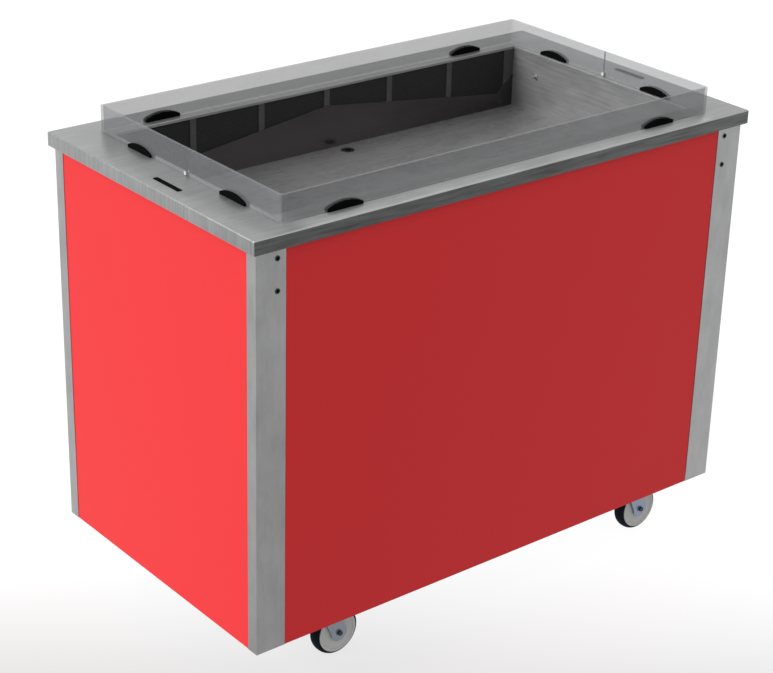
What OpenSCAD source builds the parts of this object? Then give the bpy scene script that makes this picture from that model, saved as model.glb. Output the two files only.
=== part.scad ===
// Mobile salad bar: a refrigerated drop-in well in a panelled body on four castors.
// +X runs along the length, +Y to the staff side, +Z up. The origin is on the floor, under the middle.

/* [Worktop] */
// Length of the worktop
worktop_l = 1200; // [1000:10:1500]
// Depth of the worktop, customer edge to staff edge
worktop_w = 672; // [620:2:820]
// Height of the worktop above the floor
total_h = 920; // [800:5:1100]
// Height of the turned-down edge
edge_h = 27; // [18:1:50]
// Thickness of the worktop sheet
sheet = 1.5; // [1:0.1:3]
// Overhang of the worktop past the body, all round
overhang = 10; // [6:1:12]

/* [Well] */
// Length of the well opening
well_l = 1008; // [780:1:1008]
// Width of the well opening
well_w = 512; // [440:1:516]
// Depth from the worktop to the well floor
well_depth = 133; // [110:1:165]
// Height of the lip turned down into the well
lip_h = 6; // [3:0.5:12]
// Sheet thickness of the well liner
liner_t = 1.2; // [0.8:0.1:2]
// Width of the liner's flange under the worktop
liner_flange = 15; // [8:1:18]
// Number of air outlet windows in the staff-side wall
bays = 6; // [3:1:8]
// Width of the web between two windows
bay_web = 14; // [8:1:24]
// Width of the plain wall at each end of the windows
bay_end = 25; // [8:1:40]
// Height of the windows
bay_h = 103; // [60:1:104]
// Depth of the weir plate's peak below the worktop, at mid length
weir_peak = 41; // [25:1:70]
// Depth of the weir plate's lowest points below the worktop
weir_low = 100; // [72:1:108]
// Depth of the weir plate's two ends below the worktop
weir_end = 63; // [40:1:100]
// Width of the rising corner at each end of the weir plate
weir_corner = 45; // [20:1:90]
// Place of the drain along the well
drain_x = 31; // [0:1:120]
// Place of the drain across the well
drain_y = 226; // [120:1:228]

/* [Body] */
// Height of the body's lower edge above the floor
body_z = 102; // [102:1:140]
// Width of a post's flange on the long sides
post_long = 63; // [40:1:90]
// Width of a post's flange on the ends
post_short = 27; // [20:1:60]
// Thickness of the posts
post_t = 2; // [1.5:0.1:3]
// Thickness of the panels
panel_t = 1.2; // [0.8:0.1:2]
// Depth of the panels behind the posts' faces
panel_back = 1; // [0:0.1:1.5]
// Size of the channel of the top frame
tube = 25; // [20:1:30]
// Height of the base tray's upstand
tray_h = 30; // [20:1:50]
// Height of the machine compartment's door
door_h = 510; // [420:5:520]
// Width of the machine compartment's door
door_w = 500; // [420:5:505]

/* [Rail fixings] */
// Distance of the threaded inserts from the worktop's ends
insert_edge = 55; // [50:1:66]
// Distance between the upper and lower insert
insert_pitch = 60; // [40:1:90]
// Depth of the upper insert below the worktop
insert_drop = 46; // [40:1:70]
// Bore of the inserts
insert_bore = 6.6; // [4:0.1:8]

/* [Guard] */
// Length of the clear guard over its faces
guard_l = 1036; // [1025:1:1060]
// Width of the clear guard over its faces
guard_w = 578; // [545:1:600]
// Height of the guard's top above the worktop
guard_h = 52; // [30:1:160]
// Thickness of the guard
guard_t = 5; // [3:0.5:8]
// Place of the guard's middle across the worktop
guard_y = -9; // [-12:1:12]
// Length of a clamp
clamp_l = 76; // [50:1:110]
// Height of a clamp
clamp_h = 14; // [10:1:30]
// Thickness of a clamp
clamp_t = 13; // [11:0.5:22]
// Distance of the clamps on the long sides from mid length
clamp_x = 382; // [250:1:400]
// Distance of the clamps on the ends from mid width
clamp_y = 149; // [110:1:180]
// Length of the slots for an upright at the ends of the worktop
slot_l = 78; // [50:1:100]
// Width of those slots
slot_w = 8; // [5:0.5:12]
// Distance of those slots from the worktop's ends
slot_edge = 30; // [20:1:34]
// Place of those slots across the worktop
slot_y = -30; // [-40:1:40]

/* [Castors] */
// Diameter of the wheels
wheel_d = 100; // [80:1:100]
// Width of the wheels
wheel_w = 30; // [24:1:34]
// Distance of the axle behind the swivel axis
trail = 30; // [26:1:36]
// Place of the left castors' swivel axis
castor_left = -403; // [-440:1:-380]
// Place of the right castors' swivel axis
castor_right = 403; // [380:1:440]
// Distance of the swivel axes from the body's long faces
castor_inset = 54; // [44:1:58]

/* [Hidden] */
$fn = 64;
eps = 1;

// Colours
steel = [0.62, 0.63, 0.63];
dark_steel = [0.35, 0.36, 0.37];
red = [0.82, 0.16, 0.17];
black = [0.05, 0.05, 0.06];
clear = [0.85, 0.88, 0.9, 0.35];
zinc = [0.5, 0.56, 0.66];
pale = [0.72, 0.72, 0.7];
foam = [0.85, 0.8, 0.62];
copper = [0.72, 0.42, 0.28];
alloy = [0.76, 0.77, 0.79];
rocker = [0.1, 0.5, 0.2];

// Clearances
run = 0.05;
seat = 0.2;
gap = 0.6;

// Body
body_l = worktop_l - 2 * overhang;
body_w = worktop_w - 2 * overhang;
under_top = total_h - sheet;
skin_x = body_l / 2 - panel_back;
skin_y = body_w / 2 - panel_back;
in_x = skin_x - panel_t;
in_y = skin_y - panel_t;
panel_top = under_top - 6;
fold = 12;
tray_z = body_z + 20;
tray_t = 2;
tray_top = tray_z + tray_h + tray_t;
frame_z = under_top - tube;
frame_wall = 2;

// Well
liner_l = well_l + 2 * (sheet + seat);
liner_w = well_w + 2 * (sheet + seat);
floor_z = total_h - well_depth;
bay_top = total_h - lip_h - 1;
bay_pitch = (well_l - 2 * bay_end + bay_web) / bays;
bay_w = bay_pitch - bay_web;
weir_t = 1.2;
comb_t = 8;
return_w = 130;
return_h = 20;
return_drop = 30;
jacket_out_y = in_y - tube - seat;
jacket_wall = 20;
jacket_end = 40;
jacket_top = under_top - liner_t - seat;
duct_h = 110;
jacket_in_x = liner_l / 2 + liner_t;
jacket_in_y = jacket_out_y - jacket_wall;
duct_z = floor_z - liner_t - duct_h;
jacket_floor = 25;
jacket_z = duct_z - jacket_floor;
probe_y = 184;
probe_z = total_h - 51;
probe_r = 4;

// Drain
drain_bore = 6.5;
drain_neck = 7.95;
drain_neck_l = 32;
drain_flange_r = 14;
pipe_r = 11;
pipe_bore = 8;
tail_r = 9.5;
tail_l = 35;
pipe_end = body_z - 22;
valve_z = 320;
valve_s = 36;
lever_l = 85;
stem_r = 3;
stem_y = drain_y + valve_s / 2 + 6;

// Threaded inserts
insert_x = worktop_l / 2 - insert_edge;
insert_r = 4.6;
insert_l = 14;

// Slots for the uprights
slot_x = worktop_l / 2 - slot_edge;

// Guard
clamp_web = 1.5;
clamp_end = 5.5;
clamp_rise = clamp_h - clamp_end;
clamp_r = (pow(clamp_l / 2, 2) + pow(clamp_rise, 2)) / (2 * clamp_rise);
guard_z = total_h + clamp_web;
guard_top = total_h + guard_h;
guard_r = 6;
seam = 0.5;
button_r = 3.8;
button_shank = 1.5;
button_z = guard_z + 2.6;

// Machine compartment
door_x0 = 0;
door_z0 = tray_top + 6;
door_gap = 1.5;
door_fold = 15;
hinge_x = door_x0 + door_w + door_gap / 2;
hinge_y = skin_y + 4;
knuckle_r = 3.5;
pin_r = 2;
leaf_h = 50;
knuckle_h = 20;
leaf_w = 14;
leaf_t = 1.5;
hinge_inset = 70;
catch_drop = 190.8;
catch_z = jacket_z - catch_drop;
pull_z = door_z0 + 400;
pull_x = door_x0 + 70;
louvre_count = 9;
louvre_pitch = 24;
coil_x0 = 150;
coil_l = 280;
coil_y = 194;
coil_t = 47;
coil_h = 240;
fan_r = 98;
fan_x = coil_x0 + coil_l / 2;
fan_z = tray_z + tray_t + coil_h / 2;
fan_y = 155;
shroud_y = 148;
can_x = 290;
can_y = 40;
can_r = 75;
can_h = 190;
deck_y = 60;
duct_fan_r = 47;
duct_fan_z = duct_z + duct_h / 2;
evap_l = 700;
evap_y = -180;
evap_w = 90;
evap_h = 100;
suction_x = 300;
suction_y = 20;
suction_r = 6;
liquid_x = coil_x0 + coil_l + 15;
liquid_y = coil_y + coil_t / 2;
liquid_r = 3;
line_z = duct_z + 45;

// Controls
box_x = -410;
box_l = 180;
box_h = 90;
box_drop = 35.8;
box_z = jacket_z - box_drop - box_h / 2;
box_d = 60;
fascia = 5;
fascia_t = 2.5;
fascia_y = skin_y + fascia_t;
knob_x = box_x + 50;
knob_r = 18;
knob_h = 8;
switch_x = box_x - 60;
switch_w = 19.4;
switch_h = 26;
switch_tilt = 8;
switch_y = skin_y - 3;
inlet_x = -430;
inlet_z = 170;
gland_r = 9;

// Castors
castor_y = body_w / 2 - castor_inset;
axle_z = wheel_d / 2;
plate_l = 76;
plate_w = 58;
plate_t = 3;
plate_z = tray_z - plate_t;
crown_z = tray_z - 16;
crown_t = 2.5;
crown_r = 28;
race_r = 22;
race_gap = 0.3;
king_r = 5;
leg_in = wheel_w / 2 + 1.5;
leg_t = 2.5;
leg_end = 18;
axle_r = 4;
tyre_t = 11;
guard_disc = 2;
hub_r = 12;
bolt_x = 28;
bolt_y = 21;
bolt_r = 4;
brake_x = trail + 44;
brake_z = axle_z + 33;
ear_r = 6;
brake_pin = 3;
pedal_l = 30;
pedal_t = 3;
shoe_l = 6.5;

// A block centred on the Z axis, from z0 to z1
module block(l, w, z0, z1) {
    translate([-l / 2, -w / 2, z0]) cube([l, w, z1 - z0]);
}

// A rod along Y, from y0 to y1
module rod_y(r, y0, y1) {
    translate([0, y0, 0]) rotate([-90, 0, 0]) cylinder(r = r, h = y1 - y0);
}

// A rod along X, from x0 to x1
module rod_x(r, x0, x1) {
    translate([x0, 0, 0]) rotate([0, 90, 0]) cylinder(r = r, h = x1 - x0);
}

// A rectangle with round corners
module rounded(l, w, r) {
    square([l - 2 * r, w], center = true);
    square([l, w - 2 * r], center = true);
    for (sx = [-1, 1], sy = [-1, 1]) {
        translate([sx * (l / 2 - r), sy * (w / 2 - r)]) circle(r = r);
    }
}

// ---- Worktop and well ----

module worktop() {
    color(steel) difference() {
        union() {
            difference() {
                block(worktop_l, worktop_w, total_h - edge_h, total_h);
                block(worktop_l - 2 * sheet, worktop_w - 2 * sheet, total_h - edge_h - eps, under_top);
            }
            block(well_l + 2 * sheet, well_w + 2 * sheet, total_h - lip_h, total_h);
        }
        block(well_l, well_w, total_h - lip_h - eps, total_h + eps);
        for (side = [-1, 1]) {
            translate([side * slot_x, slot_y, 0]) block(slot_w, slot_l, under_top - eps, total_h + eps);
        }
    }
}

module slot_plugs() {
    cap = 1.2;
    rim = 1;
    leg = 10;
    color(black) for (side = [-1, 1]) {
        translate([side * slot_x, slot_y, 0]) {
            block(slot_w + 2 * rim, slot_l + 2 * rim, total_h, total_h + cap);
            block(slot_w - 2 * run, slot_l - 2 * run, total_h - leg, total_h + cap);
        }
    }
}

module well_liner() {
    color(steel) difference() {
        union() {
            block(liner_l + 2 * liner_t, liner_w + 2 * liner_t, floor_z - liner_t, under_top);
            block(liner_l + 2 * (liner_t + liner_flange), liner_w + 2 * (liner_t + liner_flange),
                under_top - liner_t, under_top);
        }
        block(liner_l, liner_w, floor_z, total_h);
        for (bay = [0:bays - 1]) {
            translate([(bay - (bays - 1) / 2) * bay_pitch, liner_w / 2, 0])
                block(bay_w, 4 * liner_t, bay_top - bay_h, bay_top);
            translate([(bay - (bays - 1) / 2) * bay_pitch, -liner_w / 2, 0])
                block(min(return_w, bay_w), 4 * liner_t, total_h - return_drop - return_h,
                    total_h - return_drop);
        }
        translate([drain_x, drain_y, floor_z - 2 * liner_t]) cylinder(r = drain_neck + run, h = 4 * liner_t);
        translate([0, probe_y, probe_z]) rod_x(probe_r + run, liner_l / 2 - eps, liner_l / 2 + 2 * liner_t);
    }
}

module air_weir() {
    half = liner_l / 2 - seat;
    color(steel) translate([0, liner_w / 2, total_h]) rotate([90, 0, 0]) linear_extrude(weir_t)
        polygon([[-half, -well_depth], [half, -well_depth], [half, -weir_end],
            [half - weir_corner, -weir_low], [0, -weir_peak], [weir_corner - half, -weir_low],
            [-half, -weir_end]]);
}

module outlet_honeycomb() {
    lap = 4;
    comb_l = bays * bay_pitch - bay_web + 2 * lap;
    color(black) translate([0, liner_w / 2 + liner_t + comb_t / 2, 0])
        block(comb_l, comb_t, bay_top - bay_h - lap, bay_top);
}

module insulation_jacket() {
    through = jacket_floor + 5;
    color(foam) difference() {
        block(2 * (jacket_in_x + jacket_end), 2 * jacket_out_y, jacket_z, jacket_top);
        block(2 * jacket_in_x, 2 * jacket_in_y, duct_z, jacket_top + eps);
        translate([0, probe_y, probe_z])
            rod_x(probe_r + seat, jacket_in_x - eps, jacket_in_x + jacket_end + eps);
        translate([drain_x, drain_y, jacket_z - eps]) cylinder(r = pipe_r + seat, h = through);
        translate([suction_x, suction_y, jacket_z - eps]) cylinder(r = suction_r + seat, h = through);
        translate([liquid_x, liquid_y, jacket_z - eps]) cylinder(r = liquid_r + seat, h = through);
    }
}

module temperature_probe() {
    rim = 1.5;
    rim_t = 2;
    tip_l = 10;
    color(dark_steel) translate([0, probe_y, probe_z]) {
        rod_x(probe_r + rim, liner_l / 2 - rim_t, liner_l / 2);
        rod_x(probe_r, liner_l / 2 - rim_t, liner_l / 2 + jacket_end);
        rod_x(probe_r - rim, liner_l / 2 - rim_t - tip_l, liner_l / 2 - eps);
    }
}

// ---- Drain ----

module drain_fitting() {
    flange_t = 0.8;
    color(dark_steel) translate([drain_x, drain_y, 0]) difference() {
        union() {
            translate([0, 0, floor_z - drain_neck_l]) cylinder(r = drain_neck, h = drain_neck_l);
            translate([0, 0, floor_z]) cylinder(r = drain_flange_r, h = flange_t);
        }
        translate([0, 0, floor_z - drain_neck_l - eps]) cylinder(r = drain_bore, h = drain_neck_l + 4 * eps);
    }
}

module drain_pipe() {
    pipe_top = floor_z - 18;
    valve_h = 44;
    boss_r = 8;
    boss_l = 5;
    stem_l = 11;
    color(steel) translate([drain_x, drain_y, 0]) {
        difference() {
            union() {
                translate([0, 0, pipe_end]) cylinder(r = tail_r, h = tail_l + eps);
                translate([0, 0, pipe_end + tail_l]) cylinder(r = pipe_r, h = pipe_top - pipe_end - tail_l);
                block(valve_s, valve_s, valve_z - valve_h / 2, valve_z + valve_h / 2);
                translate([0, 0, valve_z]) rod_y(boss_r, valve_s / 2 - eps, valve_s / 2 + boss_l);
                translate([0, 0, valve_z]) rod_y(stem_r, valve_s / 2, valve_s / 2 + stem_l);
            }
            translate([0, 0, pipe_end - eps]) cylinder(r = pipe_bore, h = floor_z - pipe_end);
        }
    }
}

module drain_lever() {
    hub = 9;
    thick = 3;
    width = 14;
    washer = 0.7;
    color(red) translate([drain_x, stem_y, valve_z]) difference() {
        union() {
            rod_y(hub, -washer, thick);
            translate([0, 0, -width / 2]) cube([lever_l, thick, width]);
        }
        rod_y(stem_r + run, -eps, thick + eps);
    }
}

// ---- Guard ----

module guard_ring() {
    translate([0, guard_y, guard_z]) linear_extrude(guard_top - guard_z) difference() {
        rounded(guard_l, guard_w, guard_r);
        rounded(guard_l - 2 * guard_t, guard_w - 2 * guard_t, guard_r - guard_t);
    }
}

// Half of the guard; side is -1 on the customer side and 1 on the staff side
module guard_half(side) {
    color(clear) difference() {
        guard_ring();
        translate([0, guard_y - side * (guard_w / 2 - seam / 2), 0])
            block(guard_l + 2, guard_w, total_h, guard_top + eps);
        translate([0, guard_y, button_z]) rod_x(button_shank + run, -guard_l, guard_l);
    }
}

// A half-moon clamp whose slot holds the guard's lower edge; its length runs along X
module clamp_shape() {
    difference() {
        intersection() {
            translate([0, clamp_t / 2, clamp_h - clamp_r]) rotate([90, 0, 0]) cylinder(r = clamp_r, h = clamp_t);
            block(clamp_l, 2 * clamp_t, 0, 2 * clamp_h);
        }
        block(3 * clamp_r, guard_t + 2 * run, clamp_web, 2 * clamp_h);
    }
}

module guard_clamps() {
    color(black) translate([0, guard_y, total_h]) {
        for (sx = [-1, 1], sy = [-1, 1]) {
            translate([sx * clamp_x, sy * (guard_w - guard_t) / 2, 0]) clamp_shape();
            translate([sx * (guard_l - guard_t) / 2, sy * clamp_y, 0]) rotate([0, 0, 90]) clamp_shape();
        }
    }
}

module seam_buttons() {
    head = 1.8;
    color("white") translate([0, guard_y, button_z]) {
        for (side = [-1, 1]) {
            translate([side * (guard_l - guard_t) / 2, 0, 0]) {
                rod_x(button_shank, -guard_t / 2 - head, guard_t / 2 + head);
                rod_x(button_r, guard_t / 2, guard_t / 2 + head);
                rod_x(button_r, -guard_t / 2 - head, -guard_t / 2);
            }
        }
    }
}

// ---- Body ----

// A corner post; sx and sy give its corner
module post(sx, sy) {
    color(steel) difference() {
        union() {
            translate([sx * (body_l - post_long) / 2, sy * (body_w - post_t) / 2, 0])
                block(post_long, post_t, body_z, under_top);
            translate([sx * (body_l - post_t) / 2, sy * (body_w - post_short) / 2, 0])
                block(post_t, post_short, body_z, under_top);
        }
        if (sy < 0) {
            for (row = [0, 1]) {
                translate([sx * insert_x, 0, total_h - insert_drop - row * insert_pitch])
                    rod_y(insert_r + run, -body_w / 2 - eps, -body_w / 2 + post_t + eps);
            }
        }
    }
}

module rail_inserts() {
    rim = 0.6;
    rim_t = 0.8;
    color(black) for (sx = [-1, 1], row = [0, 1]) {
        translate([sx * insert_x, -body_w / 2, total_h - insert_drop - row * insert_pitch])
            difference() {
                union() {
                    rod_y(insert_r + rim, -rim_t, 0);
                    rod_y(insert_r, -rim_t, insert_l);
                }
                rod_y(insert_bore / 2, -rim_t - eps, insert_l + eps);
            }
    }
}

// A folded panel for a long side, between the posts' flanges; side is -1 or 1
module long_panel(side) {
    half = body_l / 2 - post_long - gap;
    translate([0, side * (skin_y - panel_t / 2), 0]) block(2 * half, panel_t, body_z, panel_top);
    for (sx = [-1, 1]) {
        translate([sx * (half - panel_t / 2), side * (skin_y - fold / 2), 0])
            block(panel_t, fold, tray_top + gap, frame_z - gap);
    }
}

module end_panel(side) {
    half = body_w / 2 - post_short - gap;
    color(red) {
        translate([side * (skin_x - panel_t / 2), 0, 0]) block(panel_t, 2 * half, body_z, panel_top);
        for (sy = [-1, 1]) {
            translate([side * (skin_x - fold / 2), sy * (half - panel_t / 2), 0])
                block(fold, panel_t, tray_top + gap, frame_z - gap);
        }
    }
}

module front_panel() {
    color(red) long_panel(-1);
}

module back_panel() {
    cut = 6;
    color(red) difference() {
        long_panel(1);
        translate([door_x0 + door_w / 2, skin_y, 0]) block(door_w, cut / 2, door_z0, door_z0 + door_h);
        translate([box_x, skin_y, 0])
            block(box_l + 2 * seat, cut, box_z - box_h / 2 - seat, box_z + box_h / 2 + seat);
        translate([inlet_x, 0, inlet_z]) rod_y(gland_r + run, skin_y - cut / 2, skin_y + cut / 2);
    }
}

module base_tray() {
    vent_l = 160;
    vent_w = 8;
    vent_x = -150;
    vent_y = -60;
    vent_pitch = 22;
    vent_count = 6;
    color(dark_steel) difference() {
        block(2 * in_x, 2 * in_y, tray_z, tray_top);
        block(2 * (in_x - tray_t), 2 * (in_y - tray_t), tray_z + tray_t, tray_top + eps);
        at_castors() for (bx = [-1, 1], by = [-1, 1]) {
            translate([bx * bolt_x, by * bolt_y, tray_z - eps]) cylinder(r = bolt_r + run, h = 2 * tray_t);
        }
        translate([drain_x, drain_y, tray_z - eps]) cylinder(r = pipe_r + seat, h = 2 * tray_t);
        for (vent = [0:vent_count - 1]) {
            translate([vent_x, vent_y + vent * vent_pitch, 0])
                block(vent_l, vent_w, tray_z - eps, tray_z + 2 * tray_t);
        }
    }
}

// A ring of channel under the worktop, open downwards, slotted for the uprights
module top_frame() {
    color(dark_steel) difference() {
        block(2 * in_x, 2 * in_y, frame_z, under_top);
        block(2 * (in_x - tube), 2 * (in_y - tube), frame_z - eps, under_top + eps);
        for (side = [-1, 1]) {
            translate([side * slot_x, slot_y, 0])
                block(slot_w + 2 * seat, slot_l + 2 * seat, frame_z, under_top + eps);
        }
        difference() {
            block(2 * (in_x - frame_wall), 2 * (in_y - frame_wall), frame_z - eps, under_top - frame_wall);
            block(2 * (in_x - tube + frame_wall), 2 * (in_y - tube + frame_wall), frame_z - 2 * eps,
                under_top + eps);
        }
    }
}

// ---- Service door ----

module service_door() {
    lo_x = door_x0 + door_gap;
    lo_z = door_z0 + door_gap;
    l = door_w - 2 * door_gap;
    h = door_h - 2 * door_gap;
    pull_l = 90;
    pull_h = 22;
    pull_d = 13.5;
    slot_h = 9;
    hood_w = 10;
    hood_rise = 8;
    hood_angle = 35;
    louvre_z = door_z0 + 60;
    color(steel) difference() {
        union() {
            difference() {
                translate([lo_x, skin_y - door_fold, lo_z]) cube([l, door_fold, h]);
                translate([lo_x + panel_t, skin_y - door_fold - eps, lo_z + panel_t])
                    cube([l - 2 * panel_t, door_fold + eps - panel_t, h - 2 * panel_t]);
            }
            translate([pull_x, skin_y - (pull_d + panel_t) / 2, pull_z])
                block(pull_l + 2 * panel_t, pull_d + panel_t - eps, -pull_h / 2 - panel_t,
                    pull_h / 2 + panel_t);
            for (hood = [0:louvre_count - 1]) {
                translate([fan_x, skin_y, louvre_z + hood * louvre_pitch + hood_rise])
                    rotate([hood_angle, 0, 0]) block(coil_l, panel_t, eps - hood_w, eps);
            }
            for (z = hinge_heights()) {
                translate([hinge_x - leaf_w, skin_y, z - knuckle_h / 2]) cube([leaf_w, leaf_t, knuckle_h]);
                translate([hinge_x, hinge_y, z - knuckle_h / 2]) cylinder(r = knuckle_r, h = knuckle_h);
            }
        }
        translate([pull_x, skin_y + eps - pull_d / 2, pull_z])
            block(pull_l, pull_d + 2 * eps, -pull_h / 2, pull_h / 2);
        for (hood = [0:louvre_count - 1]) {
            translate([fan_x, skin_y, louvre_z + hood * louvre_pitch])
                block(coil_l - 4, 2.5 * panel_t, -slot_h / 3, slot_h * 2 / 3);
        }
        for (z = hinge_heights()) {
            translate([hinge_x, hinge_y, z - knuckle_h]) cylinder(r = pin_r + run, h = 2 * knuckle_h);
        }
    }
}

function hinge_heights() = [door_z0 + hinge_inset, door_z0 + door_h - hinge_inset];

// Fixed leaves with their pins; the knuckles sit above and below the door's own
module door_hinges() {
    side = (leaf_h - knuckle_h) / 2 - race_gap;
    color(steel) for (z = hinge_heights()) {
        translate([hinge_x, hinge_y, z - leaf_h / 2]) cylinder(r = pin_r, h = leaf_h);
        for (start = [-leaf_h / 2, leaf_h / 2 - side]) {
            translate([hinge_x, hinge_y, z + start]) cylinder(r = knuckle_r, h = side);
            translate([hinge_x, skin_y, z + start]) cube([leaf_w, leaf_t, side]);
        }
        translate([hinge_x + knuckle_r + gap, skin_y, z - leaf_h / 2])
            cube([leaf_w - knuckle_r - gap, leaf_t, leaf_h]);
    }
}

module door_catch() {
    base = 16;
    length = 28;
    depth = 12;
    height = 40;
    face_y = skin_y - door_fold - race_gap;
    color(black) translate([door_x0 - base, 0, catch_z]) {
        translate([0, face_y - depth, 0]) cube([length, depth, height]);
        translate([0, face_y - eps, 0]) cube([base - 2, skin_y - panel_t - face_y + eps, height]);
    }
}

// ---- Refrigeration ----

module evaporator() {
    grooves = 13;
    groove_w = 4;
    rim = 8;
    color(alloy) difference() {
        translate([-evap_l / 2, evap_y, duct_z]) cube([evap_l, evap_w, evap_h]);
        for (groove = [1:grooves]) {
            translate([groove * evap_l / (grooves + 1) - evap_l / 2, evap_y + evap_w / 2, 0])
                block(groove_w, evap_w - 2 * rim, duct_z + rim, duct_z + evap_h + eps);
        }
    }
}

// Blades about the Y axis, joined by a hub
module fan_blades(r, hub, depth, count) {
    blade_t = 1.6;
    pitch = 32;
    difference() {
        intersection() {
            union() {
                rod_y(hub, 0, depth);
                for (blade = [0:count - 1]) {
                    rotate([0, blade * 360 / count, 0]) translate([0, depth / 2, 0]) rotate([0, 0, pitch])
                        block(1.1 * hub, blade_t, 0.7 * hub, r);
                }
            }
            rod_y(r, 0, depth);
        }
        rod_y(axle_r + run, -eps, depth + eps);
    }
}

module fan_deck() {
    ring_l = 26;
    ring_t = 4;
    tip = 2;
    deck_t = 2;
    hub_r = 12;
    hub_l = 4;
    arms = 3;
    arm_w = 5;
    arm_l = 3;
    hub_y = deck_y + ring_l - hub_l - 2;
    color(dark_steel) {
        difference() {
            union() {
                translate([0, deck_y, 0])
                    block(2 * (jacket_in_x - seat), deck_t, duct_z, floor_z - liner_t - seat);
                translate([0, 0, duct_fan_z]) rod_y(duct_fan_r + tip + ring_t, deck_y - eps, deck_y + ring_l);
            }
            translate([0, 0, duct_fan_z]) rod_y(duct_fan_r + tip, deck_y - 2 * deck_t, deck_y + ring_l + eps);
            translate([liquid_x, 0, line_z]) rod_y(liquid_r + seat, deck_y - 2 * deck_t, deck_y + 2 * deck_t);
        }
        translate([0, 0, duct_fan_z]) {
            for (arm = [0:arms - 1]) {
                rotate([0, arm * 360 / arms + 30, 0]) translate([0, hub_y + hub_l / 2, 0])
                    block(arm_w, arm_l, axle_r, duct_fan_r + tip + ring_t / 2);
            }
            rod_y(hub_r, hub_y, hub_y + hub_l);
            rod_y(axle_r, deck_y + deck_t, hub_y + hub_l / 2);
        }
    }
}

module circulation_fan() {
    hub = 17;
    depth = 17;
    blades = 7;
    color(black) translate([0, deck_y + 1, duct_fan_z]) fan_blades(duct_fan_r, hub, depth, blades);
}

module compressor() {
    z0 = tray_z + tray_t;
    base_l = 190;
    base_w = 90;
    base_t = 3;
    foot_r = 8;
    foot_h = 16;
    foot_x = 84;
    foot_y = 34;
    cover_l = 24;
    cover_w = 60;
    cover_h = 64;
    color(black) translate([can_x, can_y, z0]) {
        block(base_l, base_w, 0, base_t);
        for (sx = [-1, 1], sy = [-1, 1]) {
            translate([sx * foot_x, sy * foot_y, 0]) cylinder(r = foot_r, h = foot_h);
        }
        rotate_extrude() polygon([[0, 2], [can_r - 22, 2], [can_r, 24], [can_r, can_h - 34],
            [can_r - 12, can_h - 12], [can_r - 36, can_h], [0, can_h]]);
        translate([can_r - 4, 0, can_h / 2]) block(cover_l, cover_w, -cover_h / 2, cover_h / 2);
    }
}

module condenser() {
    z0 = tray_z + tray_t;
    grooves = 11;
    groove_w = 3;
    rim = 8;
    rows = 4;
    row_pitch = 50;
    row_z = 40;
    tube_r = 5;
    color(alloy) {
        difference() {
            translate([coil_x0, coil_y, z0]) cube([coil_l, coil_t, coil_h]);
            for (groove = [1:grooves]) {
                translate([coil_x0 + groove * coil_l / (grooves + 1), coil_y + coil_t / 2, 0])
                    block(groove_w, coil_t + 2 * eps, z0 + rim, z0 + coil_h - rim);
            }
        }
        for (row = [0:rows - 1]) {
            translate([coil_x0 - tube_r, coil_y + coil_t / 2, z0 + row_z + row * row_pitch])
                rod_x(tube_r, 0, tube_r + eps);
        }
    }
}

module condenser_shroud() {
    z0 = tray_z + tray_t;
    wall = 1.5;
    tip = 4;
    strap_h = 24;
    strap_t = 3;
    strap_y = shroud_y - 11.5;
    strap_l = 2 * fan_r + 30;
    leg_l = 14;
    leg_w = 6;
    hub_r = 22;
    hub_l = 8;
    pin_l = 40;
    color(dark_steel) {
        difference() {
            translate([coil_x0, shroud_y, z0]) cube([coil_l, coil_y - shroud_y, coil_h]);
            translate([coil_x0 + wall, shroud_y + wall, z0 + wall])
                cube([coil_l - 2 * wall, coil_y - shroud_y, coil_h - 2 * wall]);
            translate([fan_x, 0, fan_z]) rod_y(fan_r + tip, shroud_y - 2 * wall, shroud_y + 2 * wall);
        }
        translate([fan_x, strap_y, fan_z]) {
            block(strap_l, strap_t, -strap_h / 2, strap_h / 2);
            rod_y(hub_r, -strap_t / 2, hub_l);
            rod_y(axle_r, 0, pin_l);
        }
        for (side = [-1, 1]) {
            translate([fan_x + side * (strap_l / 2 - leg_w / 2), shroud_y - 6, fan_z])
                block(leg_w, leg_l, -strap_h / 2, strap_h / 2);
        }
    }
}

module condenser_fan() {
    hub = 30;
    depth = 24;
    blades = 5;
    color(black) translate([fan_x, fan_y, fan_z]) fan_blades(fan_r, hub, depth, blades);
}

// A pipe along straight runs, with round elbows
module pipe_run(points, r) {
    for (i = [0:len(points) - 2]) {
        step = points[i + 1] - points[i];
        span = norm(step);
        translate(points[i]) rotate([0, acos(step[2] / span), atan2(step[1], step[0])])
            cylinder(r = r, h = span);
    }
    for (i = [1:len(points) - 2]) {
        translate(points[i]) sphere(r = r);
    }
}

module refrigerant_pipes() {
    can_top = tray_z + tray_t + can_h;
    outlet_z = 300;
    evap_mid = evap_y + evap_w / 2;
    color(copper) {
        pipe_run([[suction_x, suction_y, can_top], [suction_x, suction_y, line_z],
            [suction_x, evap_y + evap_w, line_z]], suction_r);
        pipe_run([[coil_x0 + coil_l, liquid_y, outlet_z], [liquid_x, liquid_y, outlet_z],
            [liquid_x, liquid_y, line_z], [liquid_x, evap_mid, line_z], [evap_l / 2, evap_mid, line_z]],
            liquid_r);
    }
}

// ---- Controls ----

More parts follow.
